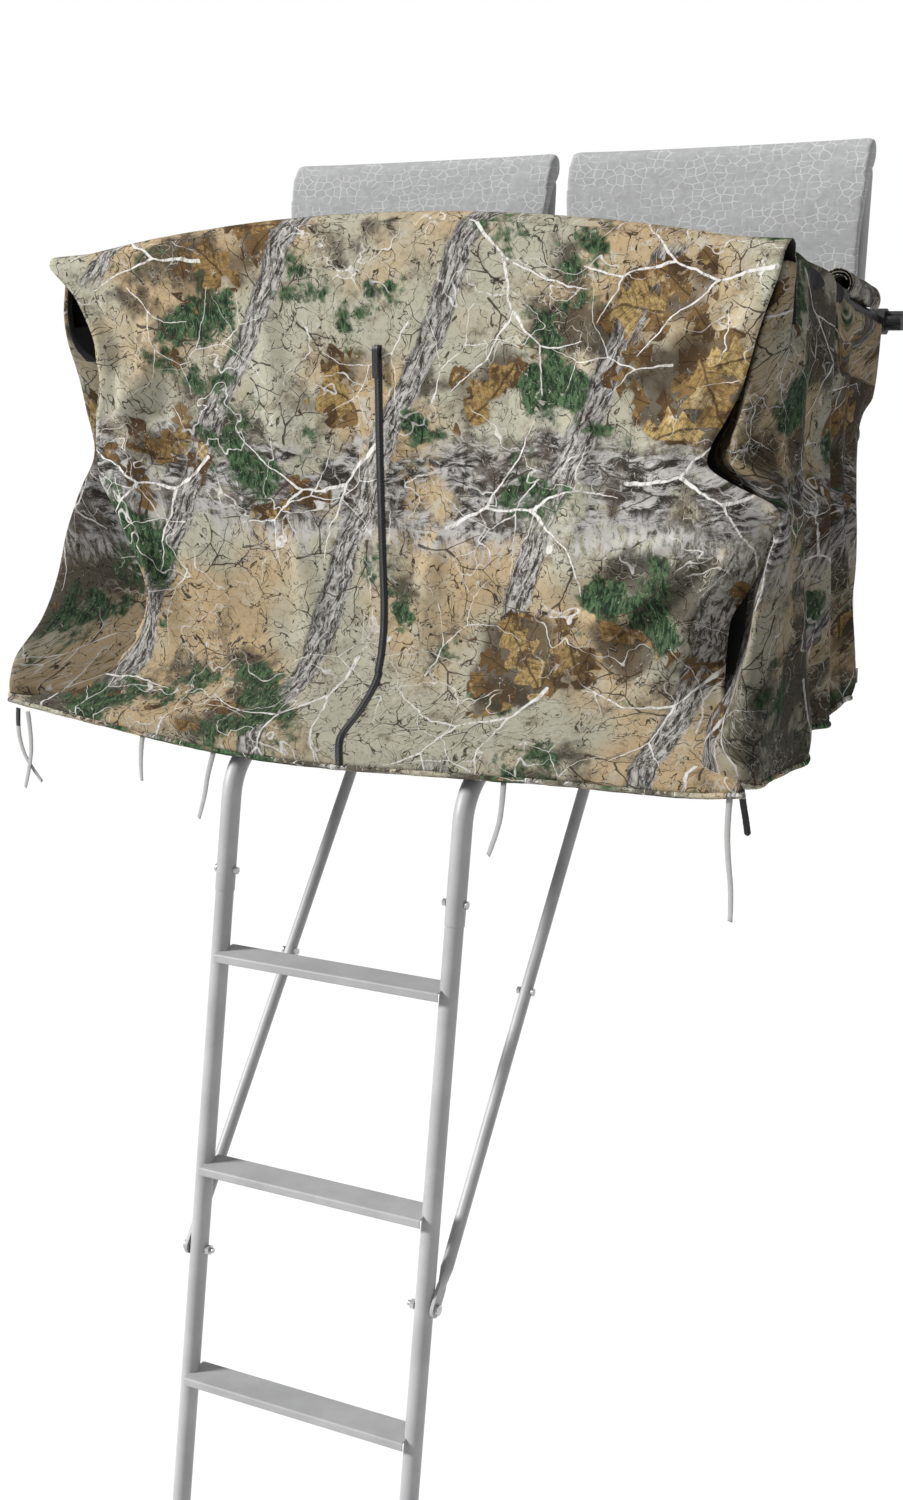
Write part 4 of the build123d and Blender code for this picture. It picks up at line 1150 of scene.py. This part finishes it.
def make_zipper(line):
    face = [p for p in line if p.y < RAIL_Y and p.z < ZIP_TOP]
    lengths = way_along(face)
    outer = [point + Vector((1, 0, 0)).cross(direction(face, i)) * -0.0013 for i, point in enumerate(face)]
    tape, length = ribbon("zipper_chain", outer, (0, -1, 0), 0.0125, 0.0010)
    tape.data.materials.append(ZIPPER_BLACK)
    teeth_points, teeth_faces = [], []
    step = 0.0026
    k, n = 0, int(length / step)
    for t in range(n):
        goal = (t + 0.5) * step
        while k < len(lengths) - 2 and lengths[k + 1] < goal:
            k += 1
        share = (goal - lengths[k]) / (lengths[k + 1] - lengths[k])
        centre = outer[k].lerp(outer[k + 1], min(1.0, share))
        along = (outer[k + 1] - outer[k]).normalized()
        out = Vector((-1, 0, 0)).cross(along)
        shift = 0.0006 if t % 2 else -0.0006
        base = len(teeth_points)
        for level, half_x, half_l in TOOTH:
            for sx, sl in ((-1, -1), (1, -1), (1, 1), (-1, 1)):
                corner = Vector((shift + sx * half_x, 0, 0)) + along * sl * half_l + out * level
                teeth_points.append(centre + corner)
        for ring in (0, 4):
            for q in range(4):
                a, b = base + ring + q, base + ring + (q + 1) % 4
                teeth_faces.append((a, b, b + 4, a + 4))
        teeth_faces.append((base + 8, base + 9, base + 10, base + 11))
    teeth = new_mesh("teeth", teeth_points, teeth_faces, [(0.0, 0.0)] * len(teeth_points))
    teeth.data.materials.append(BLACK_PLASTIC)
    merge(tape, teeth)
    return tape


zipper = make_zipper(zip_line)
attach(zipper, "shooting_rail")
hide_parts("zipper_tape")
gather(zipper)


# Rail foam: sleeves of closed-cell foam on the arch and on the front half of each arm


def make_foam_sleeve(name, route, seed, girth=1.0):
    """A sleeve with rounded ends that close on the tube inside it, and a skin that isn't quite even."""
    start, end = route[0], route[-1]
    first, last = (start - route[1]).normalized(), (end - route[-2]).normalized()
    line = [start - first * d for d in (0.0, 0.0005, 0.0025, 0.006)]
    line += route[1:-1]
    line += [end - last * d for d in (0.006, 0.0025, 0.0005, 0.0)]
    sides, rows, flat = 28, [], []
    travelled = 0.0
    for i, centre in enumerate(line):
        along = direction(line, i)
        side = along.cross(Vector((0, 0, 1))).normalized()
        out = side.cross(along)
        from_end = min(i, len(line) - 1 - i)
        radius = (0.0130, 0.0188, 0.0202, 0.0207)[from_end] if from_end < 4 else 0.0208
        travelled += (centre - line[max(i - 1, 0)]).length
        row = []
        for k in range(sides):
            t = math.tau * k / sides
            dent = 0.00035 * noise.noise(Vector((math.cos(t), math.sin(t), travelled * 30 + seed)))
            reach = radius * girth + (dent if from_end > 2 else 0)
            row.append(centre + (side * math.cos(t) + out * math.sin(t)) * reach)
        rows.append(row)
        flat.append([(travelled, 0.02 * math.tau * k / sides) for k in range(sides)])
    piece = grid(name, rows, flat, closed=True)
    turn_faces_out(piece)
    piece.data.materials.append(BLACK_FOAM)
    return piece


def make_rail_foam():
    arch = [Vector((x, RAIL_Y, rail_height(x))) for x in [-0.518 + 1.036 * k / 60 for k in range(61)]]
    whole = make_foam_sleeve("foam_sleeves", arch, 0.0)
    for side in (-1, 1):
        hub, corner = Vector((side * ARM_X, -0.200, 0.622)), Vector((side * ARM_X, RAIL_Y, 0.705))
        forward = (corner - hub).normalized()
        arm = [hub + forward * (0.250 + 0.230 * k / 20) for k in range(21)]
        merge(whole, make_foam_sleeve("arm_foam", arm, 4.0 + side))
    return whole


for side_name, side_sign in SIDES:
    cuff_line = [
        Vector((side_sign * ARM_X, y, arm_height(y))) for y in [-0.470 + 0.055 * k / 8 for k in range(9)]
    ]
    cuff = make_foam_sleeve(f"arm_cuff_{side_name}", cuff_line, 9.0 + side_sign, 0.93)
    cuff.data.materials[0] = BLACK_WEBBING
    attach(cuff, "shooting_rail")

foam = make_rail_foam()
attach(foam, "shooting_rail")
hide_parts("rail_foam")


# Padded fabric: backs and seats


def swell(piece, held, cap, pressure):
    """Fills a closed pad with air by cloth simulation. held says which points stay, and no point goes
    further than cap."""
    before = [vertex.co.copy() for vertex in piece.data.vertices]
    group = piece.vertex_groups.new(name="held")
    group.add([i for i, place in enumerate(before) if held(place)], 1.0, "REPLACE")
    cloth = piece.modifiers.new("cloth", "CLOTH")
    cloth.settings.use_pressure = True
    cloth.settings.uniform_pressure_force = pressure
    cloth.settings.effector_weights.gravity = 0
    cloth.settings.vertex_group_mass = group.name
    cloth.settings.mass = 0.2
    cloth.settings.tension_stiffness = 12
    cloth.settings.compression_stiffness = 12
    cloth.settings.shear_stiffness = 4
    cloth.settings.bending_stiffness = 0.4
    cloth.collision_settings.use_collision = False
    cloth.point_cache.frame_start = 1
    cloth.point_cache.frame_end = 20
    for step in range(1, 21):
        bpy.context.scene.frame_set(step)
    apply_modifiers(piece)
    piece.vertex_groups.clear()
    for vertex, start in zip(piece.data.vertices, before):
        move = vertex.co - start
        if move.length > cap:
            vertex.co = start + move * (cap / move.length)
    bpy.context.scene.frame_set(1)


def pad_from(node, name, voxel):
    """A copy of the CAD node's shape as an even mesh."""
    piece = bpy.data.objects.new(name, NODES[node].data.copy())
    bpy.context.scene.collection.objects.link(piece)
    piece.data.materials.clear()
    remesh = piece.modifiers.new("remesh", "REMESH")
    remesh.mode = "VOXEL"
    remesh.voxel_size = voxel
    apply_modifiers(piece)
    return piece


def finish_pad(piece, material, flat_place):
    smooth = piece.modifiers.new("smooth", "SUBSURF")
    smooth.levels = smooth.render_levels = 1
    apply_modifiers(piece)
    attribute = piece.data.attributes.new("cloth", "FLOAT_VECTOR", "POINT")
    for item, vertex in zip(attribute.data, piece.data.vertices):
        item.vector = (*flat_place(vertex.co), 0.0)
    for polygon in piece.data.polygons:
        polygon.use_smooth = True
    piece.data.materials.clear()
    piece.data.materials.append(material)


# The back's front and rear faces: y at each height. Its top folds back over the frame's top bar.
BACK_FRONT = curve_through(
    (
        (0.556, -0.1510), (0.60, -0.1495), (0.65, -0.1470), (0.70, -0.1435), (0.75, -0.1385), (0.80, -0.1315),
        (0.84, -0.1240), (0.87, -0.1150), (0.890, -0.1050), (0.900, -0.0960), (0.905, -0.0890),
    )
)
BACK_REAR = curve_through(
    (
        (0.556, -0.1400), (0.65, -0.1335), (0.70, -0.1285), (0.75, -0.1225), (0.80, -0.1135), (0.84, -0.1010),
        (0.86, -0.0850), (0.875, -0.0715), (0.890, -0.0690), (0.900, -0.0725), (0.905, -0.0780),
    )
)


def make_back(side_name):
    piece = pad_from(f"back_pad_{side_name}", f"back_cushion_{side_name}", 0.0055)
    low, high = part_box(f"back_pad_{side_name}")
    middle, half = (low.x + high.x) / 2, (high.x - low.x) / 2
    slope = (0.140 - 0.083) / (0.893 - 0.470)

    def thickness_share(place):
        face = -0.083 - (0.893 - place.z) * slope - 0.0116
        return min(1.0, max(0.0, (face - place.y) / 0.0141))

    for vertex in piece.data.vertices:
        share = thickness_share(vertex.co)
        z = vertex.co.z
        across = (vertex.co.x - middle) / half
        tuck = 0.009 * math.sin(math.pi * smoothstep(0.56, 0.90, z)) * abs(across) ** 6
        vertex.co.x -= math.copysign(tuck, across)
        vertex.co.y = BACK_REAR(z) + (BACK_FRONT(z) - BACK_REAR(z)) * share
        vertex.co.z += 0.0022 * abs(across) ** 3 * smoothstep(0.85, 0.90, z)
    swell(piece, lambda p: abs(p.x - middle) > half - 0.012 or p.z > 0.892 or p.z < 0.566, 0.004, 1.2)
    finish_pad(piece, BACK_FABRIC, lambda p: (p.x - middle, p.z))
    return piece


def make_seat(side_name):
    piece = pad_from(f"seat_pad_{side_name}", f"seat_cushion_{side_name}", 0.006)
    low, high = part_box(f"seat_pad_{side_name}")
    centre, half = (low + high) / 2, (high - low) / 2
    channels = [low.y + (high.y - low.y) * share for share in (0.33, 0.66)]
    for vertex in piece.data.vertices:
        local = vertex.co - centre
        rim = max(abs(local.x) / half.x, abs(local.y) / half.y)
        flatten = 1 - 0.30 * smoothstep(0.86, 1.0, rim)
        for channel in channels:
            flatten -= 0.42 * math.exp(-(((vertex.co.y - channel) / 0.007) ** 2)) if local.z > 0 else 0
        local.z *= flatten * 0.92
        local.x *= 0.985
        local.y *= 0.985
        vertex.co = centre + local

    def held(place):
        if any(abs(place.y - channel) < 0.005 for channel in channels):
            return True
        return place.z < low.z + 0.006 or abs(place.x - centre.x) > half.x - 0.010

    swell(piece, held, 0.010, 3.0)
    for vertex in piece.data.vertices:
        vertex.co.z = max(vertex.co.z, low.z)
    finish_pad(piece, SEAT_FABRIC, lambda p: (p.x - centre.x, p.y))
    return piece


for side_name, _ in SIDES:
    back = make_back(side_name)
    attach(back, "stand")
    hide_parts(f"back_pad_{side_name}")
    seat = make_seat(side_name)
    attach(seat, f"seat_{side_name}")
    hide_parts(f"seat_pad_{side_name}")


# Tree strap: webbing from the left ear round the trunk to the ratchet's spool

STRAP_R, TRUNK_Y, STRAP_Z = 0.11125, 0.11, 0.069


def make_tree_strap():
    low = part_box("tree_strap")[0]
    route = [Vector((-STRAP_R, low.y + (TRUNK_Y - low.y) * k / 12, STRAP_Z)) for k in range(12)]
    for k in range(49):
        turn = math.pi * (1 - k / 48)
        r = STRAP_R + 0.0006 * math.sin(9 * turn)
        route.append(Vector((r * math.cos(turn), TRUNK_Y + r * math.sin(turn), STRAP_Z)))
    route += [Vector((STRAP_R, TRUNK_Y - (TRUNK_Y - 0.0075) * k / 8, STRAP_Z)) for k in range(1, 9)]
    piece, _ = ribbon("trunk_strap", route, None, 0.038, 0.0022)
    piece.data.materials.append(BLACK_WEBBING)
    return piece


trunk_strap = make_tree_strap()
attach(trunk_strap, "stand")
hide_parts("tree_strap")


# Moulded and cut edges of the CAD parts catch the light

ROUNDED = (
    "rail_knob_left", "rail_knob_right", "ratchet_handle", "zipper_slider", "ladder_feet", "tree_cradle",
)
for node_name in ROUNDED:
    edge = NODES[node_name].modifiers.new("edge", "BEVEL")
    edge.width = 0.0009
    edge.segments = 2
    edge.limit_method = "ANGLE"
    edge.angle_limit = math.radians(35)


# Floor, light and surroundings


def make_stage():
    bpy.ops.mesh.primitive_circle_add(vertices=96, radius=14, fill_type="NGON", location=(0, 0, GROUND))
    floor = bpy.context.object
    floor.name = "floor"
    paint = Paint("floor", roughness=0.9, specular=0.2)
    tone = paint.noise(paint.place(), 1.2, 3.0)
    floor.data.materials.append(paint.finish(paint.mix(tone, (0.90, 0.90, 0.90), (0.93, 0.93, 0.93))))
    light_studio()


def light_studio():
    """A dim even surround that the camera sees as white, a soft key from the front left and a faint light
    from the front right."""
    world = bpy.data.worlds.new("studio")
    world.use_nodes = True
    nodes, links = world.node_tree.nodes, world.node_tree.links
    background = nodes["Background"]
    background.inputs["Color"].default_value = (1, 1, 1, 1)
    seen = nodes.new("ShaderNodeLightPath")
    strength = nodes.new("ShaderNodeMapRange")
    strength.inputs["To Min"].default_value = 0.38
    strength.inputs["To Max"].default_value = 1.0
    links.new(seen.outputs["Is Camera Ray"], strength.inputs["Value"])
    links.new(strength.outputs[0], background.inputs["Strength"])
    bpy.context.scene.world = world
    for name, towards, energy, angle in (
        ("key", (0.80, 0.50, -0.54), 4.75, 14),
        ("rim", (-0.85, 0.30, -0.35), 0.25, 40),
    ):
        light = bpy.data.lights.new(name, "SUN")
        light.energy = energy
        light.angle = math.radians(angle)
        lamp = bpy.data.objects.new(name, light)
        bpy.context.scene.collection.objects.link(lamp)
        lamp.rotation_mode = "QUATERNION"
        lamp.rotation_quaternion = Vector(towards).to_track_quat("-Z", "Y")


make_stage()
bpy.context.scene.view_settings.view_transform = "Standard"
